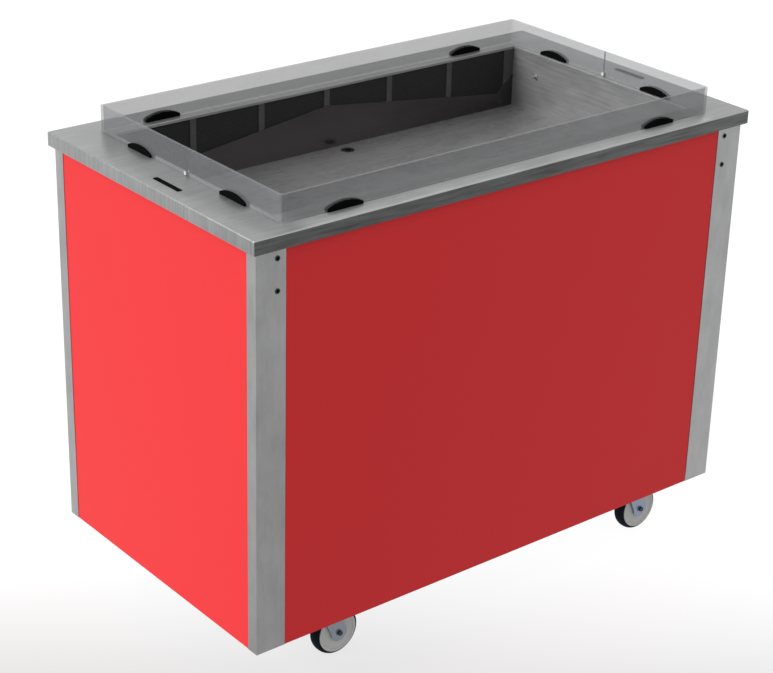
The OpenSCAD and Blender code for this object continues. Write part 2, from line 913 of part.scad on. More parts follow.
module control_box() {
    spindle_r = 3;
    mouth_l = switch_w + 0.8;
    mouth_h = 32;
    mouth_d = 24;
    pivot_l = switch_w / 2 + 1.6;
    display_l = 52;
    display_d = 1;
    color(black) difference() {
        union() {
            translate([box_x, skin_y - box_d / 2, 0])
                block(box_l, box_d, box_z - box_h / 2, box_z + box_h / 2);
            translate([box_x, skin_y + fascia_t / 2, 0]) block(box_l + 2 * fascia, fascia_t,
                box_z - box_h / 2 - fascia, box_z + box_h / 2 + fascia);
            translate([knob_x, 0, box_z]) rod_y(spindle_r, skin_y, fascia_y + knob_h - 2);
        }
        translate([switch_x, fascia_y - mouth_d / 2, 0])
            block(mouth_l, mouth_d + eps, box_z - mouth_h / 2, box_z + mouth_h / 2);
        translate([switch_x, switch_y, box_z]) rod_x(2 + run, -pivot_l, pivot_l);
        translate([box_x - 10, fascia_y, 0]) block(display_l, 2 * display_d, box_z - 4, box_z + 20);
    }
}

module thermostat_knob() {
    skirt = 2;
    grip = knob_r - 4;
    mark_w = 1.5;
    color(pale) translate([knob_x, fascia_y + race_gap, box_z]) difference() {
        union() {
            rod_y(knob_r, 0, skirt);
            rod_y(grip, 0, knob_h);
        }
        rod_y(3 + run, -eps, knob_h - 1);
        translate([0, knob_h, 0]) block(mark_w, 1.6, 4, knob_r);
    }
}

module power_switch() {
    depth = 8;
    pivot_l = switch_w / 2 + 1.2;
    color(rocker) translate([switch_x, switch_y, box_z]) rotate([-switch_tilt, 0, 0]) {
        translate([0, 3, 0]) block(switch_w, depth, -switch_h / 2, switch_h / 2);
        rod_x(2, -pivot_l, pivot_l);
    }
}

module mains_inlet() {
    nut_r = 13;
    nut_l = 5;
    color(black) translate([inlet_x, skin_y, inlet_z]) difference() {
        union() {
            rod_y(gland_r, -14, gland_r);
            rotate([-90, 0, 0]) cylinder(r = nut_r, h = nut_l, $fn = 6);
            translate([0, -panel_t - nut_l, 0]) rotate([-90, 0, 0]) cylinder(r = nut_r, h = nut_l, $fn = 6);
        }
        rod_y(gland_r / 2, -15, 10);
    }
}

// ---- Castors ----

// Puts its children on each swivel axis
module at_castors() {
    for (x = [castor_left, castor_right], sy = [-1, 1]) {
        translate([x, sy * castor_y, 0]) children();
    }
}

module castor_plates() {
    head_r = 8;
    head_h = 2.5;
    head_z = crown_z - race_gap - head_h;
    color(zinc) at_castors() {
        difference() {
            block(plate_l, plate_w, plate_z, tray_z);
            for (bx = [-1, 1], by = [-1, 1]) {
                translate([bx * bolt_x, by * bolt_y, plate_z - eps])
                    cylinder(r = bolt_r + run, h = 2 * plate_t);
            }
        }
        translate([0, 0, head_z]) cylinder(r = head_r, h = head_h);
        translate([0, 0, head_z]) cylinder(r = king_r, h = plate_z - head_z + eps);
    }
}

module castor_bolts() {
    head = 5;
    nut = 6;
    hex_r = 7;
    color(zinc) at_castors() for (bx = [-1, 1], by = [-1, 1]) {
        translate([bx * bolt_x, by * bolt_y, 0]) {
            translate([0, 0, plate_z - head]) cylinder(r = hex_r, h = head, $fn = 6);
            translate([0, 0, plate_z]) cylinder(r = bolt_r, h = plate_t + tray_t + nut + 2);
            translate([0, 0, tray_z + tray_t]) cylinder(r = hex_r, h = nut, $fn = 6);
        }
    }
}

// A pressed fork; with ears, its legs reach out to the brake pedal's pivot
module fork(x, sy, ears = false) {
    color(zinc) translate([x, sy * castor_y, 0]) difference() {
        union() {
            translate([0, 0, crown_z]) cylinder(r = crown_r, h = crown_t);
            translate([0, 0, crown_z]) cylinder(r = race_r, h = plate_z - race_gap - crown_z);
            for (side = [-1, 1]) {
                translate([0, side * (leg_in + leg_t / 2) + leg_t / 2, 0]) rotate([90, 0, 0])
                    linear_extrude(leg_t) fork_leg(ears);
            }
        }
        translate([0, 0, crown_z - eps]) cylinder(r = king_r + run, h = 20);
        translate([trail, 0, axle_z]) rod_y(axle_r + run, -30, 30);
        if (ears) {
            translate([brake_x, 0, brake_z]) rod_y(brake_pin + run, -30, 30);
        }
    }
}

module fork_leg(ears) {
    top = crown_z + crown_t;
    translate([trail, axle_z]) circle(r = leg_end);
    polygon([[-11, top], [-11, top - 6], [trail - leg_end, axle_z], [trail + leg_end, axle_z], [20, top]]);
    if (ears) {
        translate([brake_x, brake_z]) circle(r = ear_r);
        polygon([[10, top - 14], [20, top - 8], [brake_x, brake_z + ear_r], [brake_x + 4, brake_z - 4],
            [trail + leg_end, axle_z]]);
    }
}

// Bolt, head outwards, with its nut on the inner side
module axle(x, sy) {
    out = leg_in + leg_t;
    head_r = 7;
    head_l = 5;
    nut_l = 6;
    color(zinc) translate([x + trail, sy * castor_y, axle_z]) mirror([0, sy < 0 ? 0 : 1, 0]) {
        rod_y(axle_r, -out - head_l, out + nut_l + 2);
        rod_y(head_r, -out - head_l, -out);
        translate([0, out, 0]) rotate([-90, 0, 0]) cylinder(r = head_r, h = nut_l, $fn = 6);
    }
}

module wheel(x, sy) {
    core_r = wheel_d / 2 - tyre_t;
    rim_r = core_r + 3.5;
    boss = 1;
    color(pale) translate([x + trail, sy * castor_y, axle_z]) difference() {
        union() {
            rod_y(core_r, -wheel_w / 2, wheel_w / 2);
            rod_y(rim_r, wheel_w / 2 - guard_disc, wheel_w / 2);
            rod_y(rim_r, -wheel_w / 2, guard_disc - wheel_w / 2);
            rod_y(hub_r, -wheel_w / 2 - boss, wheel_w / 2 + boss);
        }
        rod_y(axle_r + run, -wheel_w, wheel_w);
    }
}

module tyre(x, sy) {
    half = wheel_w / 2 - guard_disc;
    color(black) translate([x + trail, sy * castor_y, axle_z]) difference() {
        rod_y(wheel_d / 2, -half, half);
        rod_y(wheel_d / 2 - tyre_t, -half - eps, half + eps);
    }
}

// Pedal on its own cross pin; its shoe turns in towards the tyre as the pedal goes down
module brake_pedal(x) {
    half = wheel_w / 2 - 3;
    toward_wheel = atan2(axle_z - brake_z, trail - brake_x);
    lip = 6;
    shoe_t = 2;
    shoe_turn = 60;
    color(black) translate([x + brake_x, castor_y, brake_z]) {
        rod_y(brake_pin, -leg_in - leg_t, leg_in + leg_t);
        translate([0, -half, -pedal_t / 2]) cube([pedal_l, 2 * half, pedal_t]);
        translate([pedal_l - lip, -half, -pedal_t / 2]) cube([lip, 2 * half, 2 * pedal_t]);
        rotate([0, -(toward_wheel + shoe_turn), 0]) translate([0, -half, -shoe_t / 2])
            cube([shoe_l, 2 * half, shoe_t]);
    }
}

worktop();
post(-1, -1);  // post_front_left
post(1, -1);  // post_front_right
post(-1, 1);  // post_back_left
post(1, 1);  // post_back_right
front_panel();
end_panel(-1);  // left_panel
end_panel(1);  // right_panel
back_panel();
service_door();
door_hinges();
door_catch();
base_tray();
top_frame();
well_liner();
air_weir();
outlet_honeycomb();
insulation_jacket();
drain_fitting();
drain_pipe();
drain_lever();
temperature_probe();
slot_plugs();
guard_half(-1);  // guard_front
guard_half(1);  // guard_back
guard_clamps();
seam_buttons();
evaporator();
fan_deck();
circulation_fan();
compressor();
condenser();
condenser_shroud();
condenser_fan();
refrigerant_pipes();
control_box();
thermostat_knob();
power_switch();
mains_inlet();
rail_inserts();
castor_plates();
castor_bolts();
fork(castor_left, -1);  // fork_front_left
fork(castor_right, -1);  // fork_front_right
fork(castor_left, 1, true);  // fork_back_left
fork(castor_right, 1, true);  // fork_back_right
axle(castor_left, -1);  // axle_front_left
axle(castor_right, -1);  // axle_front_right
axle(castor_left, 1);  // axle_back_left
axle(castor_right, 1);  // axle_back_right
wheel(castor_left, -1);  // wheel_front_left
wheel(castor_right, -1);  // wheel_front_right
wheel(castor_left, 1);  // wheel_back_left
wheel(castor_right, 1);  // wheel_back_right
tyre(castor_left, -1);  // tyre_front_left
tyre(castor_right, -1);  // tyre_front_right
tyre(castor_left, 1);  // tyre_back_left
tyre(castor_right, 1);  // tyre_back_right
brake_pedal(castor_left);  // brake_pedal_left
brake_pedal(castor_right);  // brake_pedal_right
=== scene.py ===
"""Mobile salad bar: its looks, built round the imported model.

Everything is in metres in the model's frame: +X along the length, +Y to the staff side, +Z up from the floor.
"""

import logging
import math
from collections.abc import Callable, Iterable
from dataclasses import dataclass
from enum import Enum
from functools import cache
from typing import ClassVar

import bpy
from mathutils import Matrix, Vector


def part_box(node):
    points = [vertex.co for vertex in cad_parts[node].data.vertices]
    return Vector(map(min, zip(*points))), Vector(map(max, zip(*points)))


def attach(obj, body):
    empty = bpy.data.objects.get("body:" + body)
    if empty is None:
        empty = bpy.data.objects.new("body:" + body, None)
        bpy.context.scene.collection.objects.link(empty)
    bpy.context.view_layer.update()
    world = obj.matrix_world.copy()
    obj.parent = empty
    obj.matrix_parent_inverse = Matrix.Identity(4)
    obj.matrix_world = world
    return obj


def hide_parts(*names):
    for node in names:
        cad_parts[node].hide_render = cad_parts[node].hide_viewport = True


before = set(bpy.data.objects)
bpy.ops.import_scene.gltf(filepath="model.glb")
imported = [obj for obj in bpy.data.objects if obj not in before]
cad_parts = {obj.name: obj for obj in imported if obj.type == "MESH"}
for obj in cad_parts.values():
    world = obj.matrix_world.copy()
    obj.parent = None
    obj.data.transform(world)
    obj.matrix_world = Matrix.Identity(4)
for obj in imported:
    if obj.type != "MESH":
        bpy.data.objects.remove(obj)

log = logging.getLogger("salad_bar")

Point = tuple[float, float, float]
Colour = tuple[float, float, float]

MM = 0.001
# Points closer than this are one point.
WELD = 1e-6
# The least part of a unit vector along an axis: where it faces that way, and where it is parallel.
FACING = 0.7
ALONG = 0.9
# The scale of a pattern that isn't stretched.
EVEN: Point = (1.0, 1.0, 1.0)
CABINET = "cabinet"
CASTORS = ("front_left", "front_right", "back_left", "back_right")


class Axis(Enum):
    """A direction of the model's frame."""

    X = 0
    Y = 1
    Z = 2


# ---- Shader maths ----


class Wire:
    """A node's output that can stand in a Python expression."""

    def __init__(self, graph: "Graph", socket: bpy.types.NodeSocket) -> None:
        """Keeps the socket and the graph that it belongs to."""
        self.graph = graph
        self.socket = socket

    def __add__(self, other: "Wire | float") -> "Wire":
        """Adds."""
        return self.graph.maths("ADD", self, other)

    __radd__ = __add__

    def __sub__(self, other: "Wire | float") -> "Wire":
        """Subtracts."""
        return self.graph.maths("SUBTRACT", self, other)

    def __rsub__(self, other: float) -> "Wire":
        """Subtracts from a number."""
        return self.graph.maths("SUBTRACT", other, self)

    def __mul__(self, other: "Wire | float") -> "Wire":
        """Multiplies."""
        return self.graph.maths("MULTIPLY", self, other)

    __rmul__ = __mul__

    def __truediv__(self, other: "Wire | float") -> "Wire":
        """Divides."""
        return self.graph.maths("DIVIDE", self, other)

    def rise(self, low: float, high: float) -> "Wire":
        """A smooth step.

        Args:
            low: the value at which the step starts, at 0
            high: the value at which the step ends, at 1

        Returns:
            The step, from 0 to 1.
        """
        settings = {"interpolation_type": "SMOOTHSTEP"}
        return self.graph.node("ShaderNodeMapRange", settings, {0: self, 1: low, 2: high})


class Graph:
    """The nodes of a material or of the world."""

    def __init__(self, owner: "bpy.types.Material | bpy.types.World", shader: str = "Principled BSDF") -> None:
        """Opens the owner's nodes, with the shader that they start with."""
        owner.use_nodes = True
        self.tree = owner.node_tree
        self.shader = self.tree.nodes[shader]

    def feed(self, socket: bpy.types.NodeSocket, value: object) -> None:
        """Sets a socket to a number, a colour or a vector, or links a wire to it."""
        if isinstance(value, Wire):
            self.tree.links.new(value.socket, socket)
        elif socket.type == "RGBA":
            socket.default_value = (*value, 1.0)
        else:
            socket.default_value = value

    def node(
        self, kind: str, settings: dict | None = None, inputs: dict | None = None, output: int | str = 0,
    ) -> Wire:
        """Adds a node.

        Args:
            kind: the node's type
            settings: its own settings
            inputs: values or wires by input name or number
            output: which of its outputs is returned

        Returns:
            That output.
        """
        made = self.tree.nodes.new(kind)
        for name, value in (settings or {}).items():
            setattr(made, name, value)
        for key, value in (inputs or {}).items():
            self.feed(made.inputs[key], value)
        return Wire(self, made.outputs[output])

    def maths(self, operation: str, *values: "Wire | float") -> Wire:
        """A Math node on one to three values."""
        return self.node("ShaderNodeMath", {"operation": operation}, dict(enumerate(values)))

    def place(self, scale: Point = EVEN) -> Wire:
        """Object coordinates, stretched."""
        where = self.node("ShaderNodeTexCoord", output="Object")
        return self.node("ShaderNodeMapping", {"vector_type": "POINT"}, {"Vector": where, "Scale": scale})

    def along(self, axis: Axis) -> Wire:
        """One Object coordinate."""
        where = self.node("ShaderNodeTexCoord", output="Object")
        return self.node("ShaderNodeSeparateXYZ", None, {0: where}, axis.value)

    def noise(self, scale: float, detail: float = 3.0, rough: float = 0.5, stretch: Point = EVEN) -> Wire:
        """Noise from 0 to 1, in Object coordinates."""
        inputs = {"Vector": self.place(stretch), "Scale": scale, "Detail": detail, "Roughness": rough}
        return self.node("ShaderNodeTexNoise", None, inputs)

    def cells(self, scale: float, output: str) -> Wire:
        """An output of a cell pattern in Object coordinates."""
        return self.node("ShaderNodeTexVoronoi", None, {"Vector": self.place(), "Scale": scale}, output)

    def seen(self) -> Wire:
        """1 for rays from the camera, from a mirror and through clear sheet, else 0."""
        kinds = ("Camera", "Glossy", "Transmission")
        camera, mirror, clear = (self.node("ShaderNodeLightPath", output=f"Is {kind} Ray") for kind in kinds)
        return self.maths("MAXIMUM", camera, self.maths("MAXIMUM", mirror, clear))

    def mix(self, share: "Wire | float", low: "Wire | Colour", high: "Wire | Colour") -> Wire:
        """A colour between two."""
        return self.node("ShaderNodeMix", {"data_type": "RGBA"}, {0: share, 6: low, 7: high}, 2)

    def bump(self, height: Wire, strength: float, depth: float) -> Wire:
        """A normal from a height, whose full range is depth metres."""
        return self.node("ShaderNodeBump", None, {"Strength": strength, "Distance": depth, "Height": height})

    def done(self, **inputs: object) -> None:
        """Feeds the shader's inputs, whose names are written with underscores."""
        for name, value in inputs.items():
            self.feed(self.shader.inputs[name.replace("_", " ").title().replace("Ior", "IOR")], value)


def tinted(colour: Colour, factor: float) -> Colour:
    """A colour made lighter or darker by a factor."""
    return tuple(min(1.0, part * factor) for part in colour)


# ---- Finishes ----


@dataclass(frozen=True)
class Look:
    """A kind of surface."""

    name: str
    tone: Colour

    def make(self) -> bpy.types.Material:
        """Builds the material."""
        material = bpy.data.materials.new(self.name)
        self.fill(Graph(material))
        return material

    def fill(self, g: Graph) -> None:
        """Adds the surface's nodes."""
        raise NotImplementedError

    def between(self, g: Graph, share: Wire, low: float, high: float) -> Wire:
        """The tone between two factors of itself."""
        return g.mix(share, tinted(self.tone, low), tinted(self.tone, high))


@dataclass(frozen=True)
class Brushed(Look):
    """Stainless sheet with a grain, cloudy where it has been handled.

    The scales of its three layers of noise are given across the grain and along it.
    """

    FINE: ClassVar[tuple[float, float]] = (900.0, 7.0)
    BAND: ClassVar[tuple[float, float]] = (170.0, 9.0)
    MOTTLE: ClassVar[tuple[float, float]] = (26.0, 12.0)
    DARKEST: ClassVar[float] = 0.45
    PALEST: ClassVar[float] = 1.55

    grain: Axis
    rough: float = 0.36
    streak: float = 0.3
    cloud: float = 0.25
    metal: float = 1.0

    def fill(self, g: Graph) -> None:
        """Adds the surface's nodes."""
        fine = g.noise(1.0, 5.0, 0.62, self._stretched(*self.FINE))
        band = g.noise(1.0, 3.0, 0.6, self._stretched(*self.BAND))
        mottle = g.noise(1.0, 5.0, 0.6, self._stretched(*self.MOTTLE))
        streaks = (fine - 0.5) * self.streak + (band - 0.5) * (1.4 * self.streak)
        shade = streaks + (mottle - 0.5) * (1.6 * self.cloud) + 0.5
        rough = (fine - 0.5) * 0.12 + (mottle - 0.5) * 0.16 + self.rough
        normal = g.bump(fine, 0.12, 0.00008)
        g.done(base_color=self._colour(g, shade), roughness=rough, metallic=self.metal, normal=normal)

    def _stretched(self, across: float, lengthwise: float) -> Point:
        """Scales of a pattern that is drawn out along the grain."""
        scale = [across] * 3
        scale[self.grain.value] = lengthwise
        return tuple(scale)

    def _colour(self, g: Graph, shade: Wire) -> Wire:
        """The colour at a shade of the grain."""
        return self._toned(g, shade, 1.0)

    def _toned(self, g: Graph, shade: Wire, share: float) -> Wire:
        """The grain's colours, lighter or darker."""
        return self.between(g, shade, self.DARKEST * share, self.PALEST * share)


@dataclass(frozen=True)
class Tabletop(Brushed):
    """Brushed sheet with painted light in front of the guard's foot and painted shade between the foot and the
    well.
    """

    # Shares of the tone for the painted light in front of the foot and the painted shade between the foot and
    # the well.
    painted_light: float = 1.6
    tarnish_and_painted_shade: float = 0.5
    foot: float = -0.298
    well: float = -0.25
    reach: float = 0.485
    soft: float = 0.003
    fade: float = 0.03

    def _colour(self, g: Graph, shade: Wire) -> Wire:
        """The colour at a shade of the grain."""
        across, along, soft = g.along(Axis.Y), g.along(Axis.X), self.soft
        beside = (along * along).rise((self.reach + self.fade) ** 2, (self.reach - self.fade) ** 2)
        front = across.rise(self.foot + soft, self.foot - soft)
        behind = across.rise(self.foot - soft, self.foot + soft)
        inner = behind * across.rise(self.well + soft, self.well - soft)
        # Painted light brightens the strip in front of the guard's foot; painted shade darkens the band
        # between the foot and the well.
        plain, painted_light, tarnish_and_painted_shade = (self._toned(g, shade, share) for share in (1.0, self.painted_light, self.tarnish_and_painted_shade))
        return g.mix(inner * beside, g.mix(front * beside, plain, painted_light), tarnish_and_painted_shade)


@dataclass(frozen=True)
class Polished(Look):
    """Bright rolled plate that mirrors what is near it."""

    rough: float = 0.12

    def fill(self, g: Graph) -> None:
        """Adds the surface's nodes."""
        haze = g.noise(3.0, 4.0, stretch=(3, 3, 3))
        smear = g.noise(1.0, 3.0, stretch=(9, 60, 60))
        colour = self.between(g, haze, 0.9, 1.1)
        rough = (haze - 0.5) * 0.1 + (smear - 0.5) * 0.08 + self.rough
        g.done(base_color=colour, roughness=rough, metallic=1.0, normal=g.bump(smear, 0.05, 0.0004))


@dataclass(frozen=True)
class Galvanised(Look):
    """Zinc coated sheet with its spangle."""

    rough: float = 0.46

    def fill(self, g: Graph) -> None:
        """Adds the surface's nodes."""
        warp = g.noise(50.0, 2.0)
        flake = g.node("ShaderNodeSeparateColor", None, {0: g.cells(90.0, "Color")})
        share = flake * 0.7 + warp * 0.3
        colour, rough = self.between(g, share, 0.78, 1.2), share * 0.2 + (self.rough - 0.1)
        g.done(base_color=colour, roughness=rough, metallic=1.0, normal=g.bump(warp, 0.08, 0.0003))


@dataclass(frozen=True)
class Powder(Look):
    """Powder coated sheet: even colour, faint orange peel."""

    rough: float = 0.5

    def fill(self, g: Graph) -> None:
        """Adds the surface's nodes."""
        peel = g.noise(420.0, 2.0)
        drift = g.noise(2.2, 2.0)
        speck = g.noise(1500.0, 2.0)
        colour = self.between(g, drift * 0.7 + speck * 0.3, 0.965, 1.035)
        rough = (peel - 0.5) * 0.14 + (drift - 0.5) * 0.06 + self.rough
        g.done(base_color=colour, roughness=rough, specular_ior_level=0.2, normal=g.bump(peel, 0.12, 0.0002))


@dataclass(frozen=True)
class Moulded(Look):
    """Moulded plastic or rubber with a fine eroded grain."""

    rough: float = 0.5
    grain: float = 0.25
    scuff: float = 0.15
    shine: float = 0.5

    def fill(self, g: Graph) -> None:
        """Adds the surface's nodes."""
        pits = g.noise(1400.0, 3.0)
        wear = g.noise(60.0, 6.0, 0.7).rise(0.48, 0.72)
        colour = g.mix(wear * self.scuff + (pits - 0.5) * 0.1, self.tone, tinted(self.tone, 1.6))
        rough = (pits - 0.5) * 0.2 + wear * 0.12 + self.rough
        normal = g.bump(pits, self.grain, 0.00012)
        g.done(base_color=colour, roughness=rough, specular_ior_level=self.shine, normal=normal)


@dataclass(frozen=True)
class Clear(Look):
    """Clear sheet whose surface carries a pale haze; its cut edges glow."""

    cover: float
    rough: float = 0.06

    def fill(self, g: Graph) -> None:
        """Adds the surface's nodes."""
        smear = g.noise(2.0, 5.0, 0.6, (4, 4, 14))
        cover = (smear - 0.5) * (0.16 * self.cover) + self.cover
        rough = smear * 0.05 + self.rough
        colour = self.between(g, smear, 0.94, 1.06)
        g.done(base_color=colour, roughness=rough, alpha=cover, specular_ior_level=0.35)

    def make(self) -> bpy.types.Material:
        """Builds the material, and lets a viewer blend it."""
        material = super().make()
        material.surface_render_method = "BLENDED"
        return material


@dataclass(frozen=True)
class Plated(Look):
    """Blue zinc plate on pressed steel."""

    rough: float = 0.34

    def fill(self, g: Graph) -> None:
        """Adds the surface's nodes."""
        tide = g.noise(26.0, 4.0)
        fine = g.noise(500.0, 2.0)
        warm = (self.tone[0] * 1.12, self.tone[1] * 1.06, self.tone[2] * 0.9)
        colour = g.mix(tide.rise(0.35, 0.7), self.tone, warm)
        rough = (fine - 0.5) * 0.16 + (tide - 0.5) * 0.16 + self.rough
        g.done(base_color=colour, roughness=rough, metallic=0.85, normal=g.bump(fine, 0.1, 0.0001))


@dataclass(frozen=True)
class Drawn(Look):
    """Drawn tube, a little tarnished."""

    rough: float = 0.3

    def fill(self, g: Graph) -> None:
        """Adds the surface's nodes."""
        stain = g.noise(22.0, 6.0, 0.65).rise(0.42, 0.75)
        fine = g.noise(300.0, 3.0)
        tarnish_and_painted_shade = (self.tone[0] * 0.55, self.tone[1] * 0.6, self.tone[2] * 0.6)
        rough = stain * 0.25 + (fine - 0.5) * 0.1 + self.rough
        colour, normal = g.mix(stain, self.tone, tarnish_and_painted_shade), g.bump(fine, 0.08, 0.0001)
        g.done(base_color=colour, roughness=rough, metallic=1.0, normal=normal)


@dataclass(frozen=True)
class Foamed(Look):
    """Foam with its closed skin, pale and pitted."""

    def fill(self, g: Graph) -> None:
        """Adds the surface's nodes."""
        cells = g.cells(260.0, "Distance")
        swell = g.noise(12.0, 3.0)
        colour = self.between(g, cells * 0.6 + swell * 0.5, 1.12, 0.78)
        normal = g.bump(cells * 0.4 + swell, 0.4, 0.0012)
        g.done(base_color=colour, roughness=(swell - 0.5) * 0.1 + 0.85, normal=normal)


@dataclass(frozen=True)
class Mesh(Look):
    """Dark hexagon mesh whose open cells carry painted shade; pitch is the distance between its cells."""

    pitch: float

    def fill(self, g: Graph) -> None:
        """Adds the surface's nodes."""
        root = math.sqrt(3)
        x = g.along(Axis.X) / self.pitch
        z = g.along(Axis.Z) / (self.pitch * root)
        near = g.maths("MINIMUM", self._cell(g, x, z, root), self._cell(g, x + 0.5, z + 0.5, root))
        wall = near.rise(0.36, 0.5)
        dust = g.noise(40.0, 4.0)
        # The cells' middles are painted darker than the walls, as painted shade in the open cells; dust varies
        # the walls.
        colour, rough = self.between(g, wall * (dust * 0.6 + 0.6), 0.25, 1.5), (dust - 0.5) * 0.2 + 0.6
        g.done(base_color=colour, roughness=rough, metallic=0.2, normal=g.bump(wall, 0.6, 0.002))

    @staticmethod
    def _cell(g: Graph, x: Wire, z: Wire, root: float) -> Wire:
        """The hexagon distance from the nearest cell of one lattice, as a share of the pitch."""
        dx = g.maths("ABSOLUTE", g.maths("FRACT", x) - 0.5)
        dz = g.maths("ABSOLUTE", g.maths("FRACT", z) - 0.5) * root
        slant = dx * 0.5 + dz * (root / 2)
        return g.maths("MAXIMUM", dx, slant)


@dataclass(frozen=True)
class FinStock(Look):
    """Thin aluminium fins, with the fine dents of a used coil."""

    def fill(self, g: Graph) -> None:
        """Adds the surface's nodes."""
        dent = g.noise(1.0, 5.0, 0.6, (30, 30, 90))
        dust = g.noise(18.0, 5.0).rise(0.4, 0.8)
        colour = g.mix(dust, self.tone, tinted(self.tone, 0.72))
        normal = g.bump(dent, 0.25, 0.0006)
        g.done(base_color=colour, roughness=dent * 0.22 + 0.32, metallic=1.0, normal=normal)


@cache
def made_once(look: Look) -> bpy.types.Material:
    """A look's material, built on the first call only."""
    return look.make()


class Finish(Enum):
    """The finishes of the object."""

    WORKTOP = Tabletop("steel_worktop", (0.31, 0.313, 0.313), Axis.X, 0.36, 0.3, 0.25, 0.6)
    # The long turned-down edges: a darker copy of the worktop's steel, as painted shade.
    EDGE = Brushed("steel_edge", (0.105, 0.107, 0.107), Axis.X, 0.45, 0.9, 0.3)
    # The upper faces of the long edges' bends: a lighter copy of the steel, as a painted highlight.
    BEND = Brushed("steel_bend", (0.42, 0.422, 0.423), Axis.X, 0.34, 0.4, 0.2, 0.6)
    END = Brushed("steel_end", (0.295, 0.3, 0.3), Axis.Z, 0.42, 0.45)
    POST = Brushed("steel_post", (0.345, 0.347, 0.348), Axis.Z, 0.4, 0.1, 0.3)
    LINER = Brushed("steel_liner", (0.35, 0.35, 0.35), Axis.X, 0.28, 0.12, 0.2, 0.55)
    LINER_END = Brushed("steel_liner_end", (0.3, 0.3, 0.3), Axis.Y, 0.34, 0.4, 0.3, 0.5)
    # The liner's back wall: a darker copy of the liner's steel, as painted shade.
    LINER_BACK = Brushed("steel_liner_back", (0.1, 0.1, 0.102), Axis.X, 0.4, 0.2, 0.2, 0.6)
    DOOR = Brushed("steel_door", (0.42, 0.425, 0.425), Axis.Z, 0.36, 0.2, 0.15)
    TUBE = Brushed("steel_tube", (0.45, 0.455, 0.46), Axis.Z, 0.28, 0.15, 0.1)
    WEIR = Polished("steel_weir", (0.1, 0.092, 0.094), 0.22)
    DRAIN = Polished("steel_drain", (0.1, 0.1, 0.1), 0.3)
    FRAME = Galvanised("spangled_zinc", (0.4, 0.41, 0.42))
    RED = Powder("red_coat", (0.7, 0.0265, 0.0305))
    BLACK = Moulded("moulded_black", (0.018, 0.018, 0.02), 0.45)
    RUBBER = Moulded("clamp_rubber", (0.0022, 0.0022, 0.0024), 0.8, 0.2, 0.05, 0.03)
    TREAD = Moulded("tyre_tread", (0.004, 0.008, 0.0125), 0.7, 0.3, 0.2, 0.08)
    WHITE = Moulded("moulded_white", (0.55, 0.55, 0.56), 0.3, 0.05, 0.02)
    NYLON = Moulded("moulded_pale", (0.52, 0.53, 0.51), 0.42, 0.15, 0.03)
    GRIP = Moulded("dipped_red", (0.6, 0.03, 0.03), 0.4, 0.2, 0.1)
    ROCKER = Moulded("rocker_green", (0.02, 0.3, 0.08), 0.25, 0.04, 0.02)
    CAN = Moulded("compressor_black", (0.014, 0.014, 0.015), 0.3, 0.12, 0.2)
    CLEAR = Clear("clear_sheet", (0.215, 0.22, 0.228), 0.38)
    CLEAR_EDGE = Clear("clear_edge", (0.27, 0.275, 0.285), 0.42, 0.3)
    ZINC = Plated("blue_zinc", (0.235, 0.28, 0.37))
    BOLT = Plated("black_bolt", (0.045, 0.05, 0.065), 0.45)
    COPPER = Drawn("copper_tube", (0.72, 0.36, 0.22))
    FOAM = Foamed("pale_foam", (0.66, 0.6, 0.42))
    COMB = Mesh("dark_honeycomb", (0.014, 0.014, 0.016), 0.006)
    FINS = FinStock("fin_stock", (0.62, 0.63, 0.65))

    @property
    def material(self) -> bpy.types.Material:
        """The material, made when it is first asked for."""
        return made_once(self.value)


# ---- Modelling ----


Test = Callable[[Vector, Vector], bool]


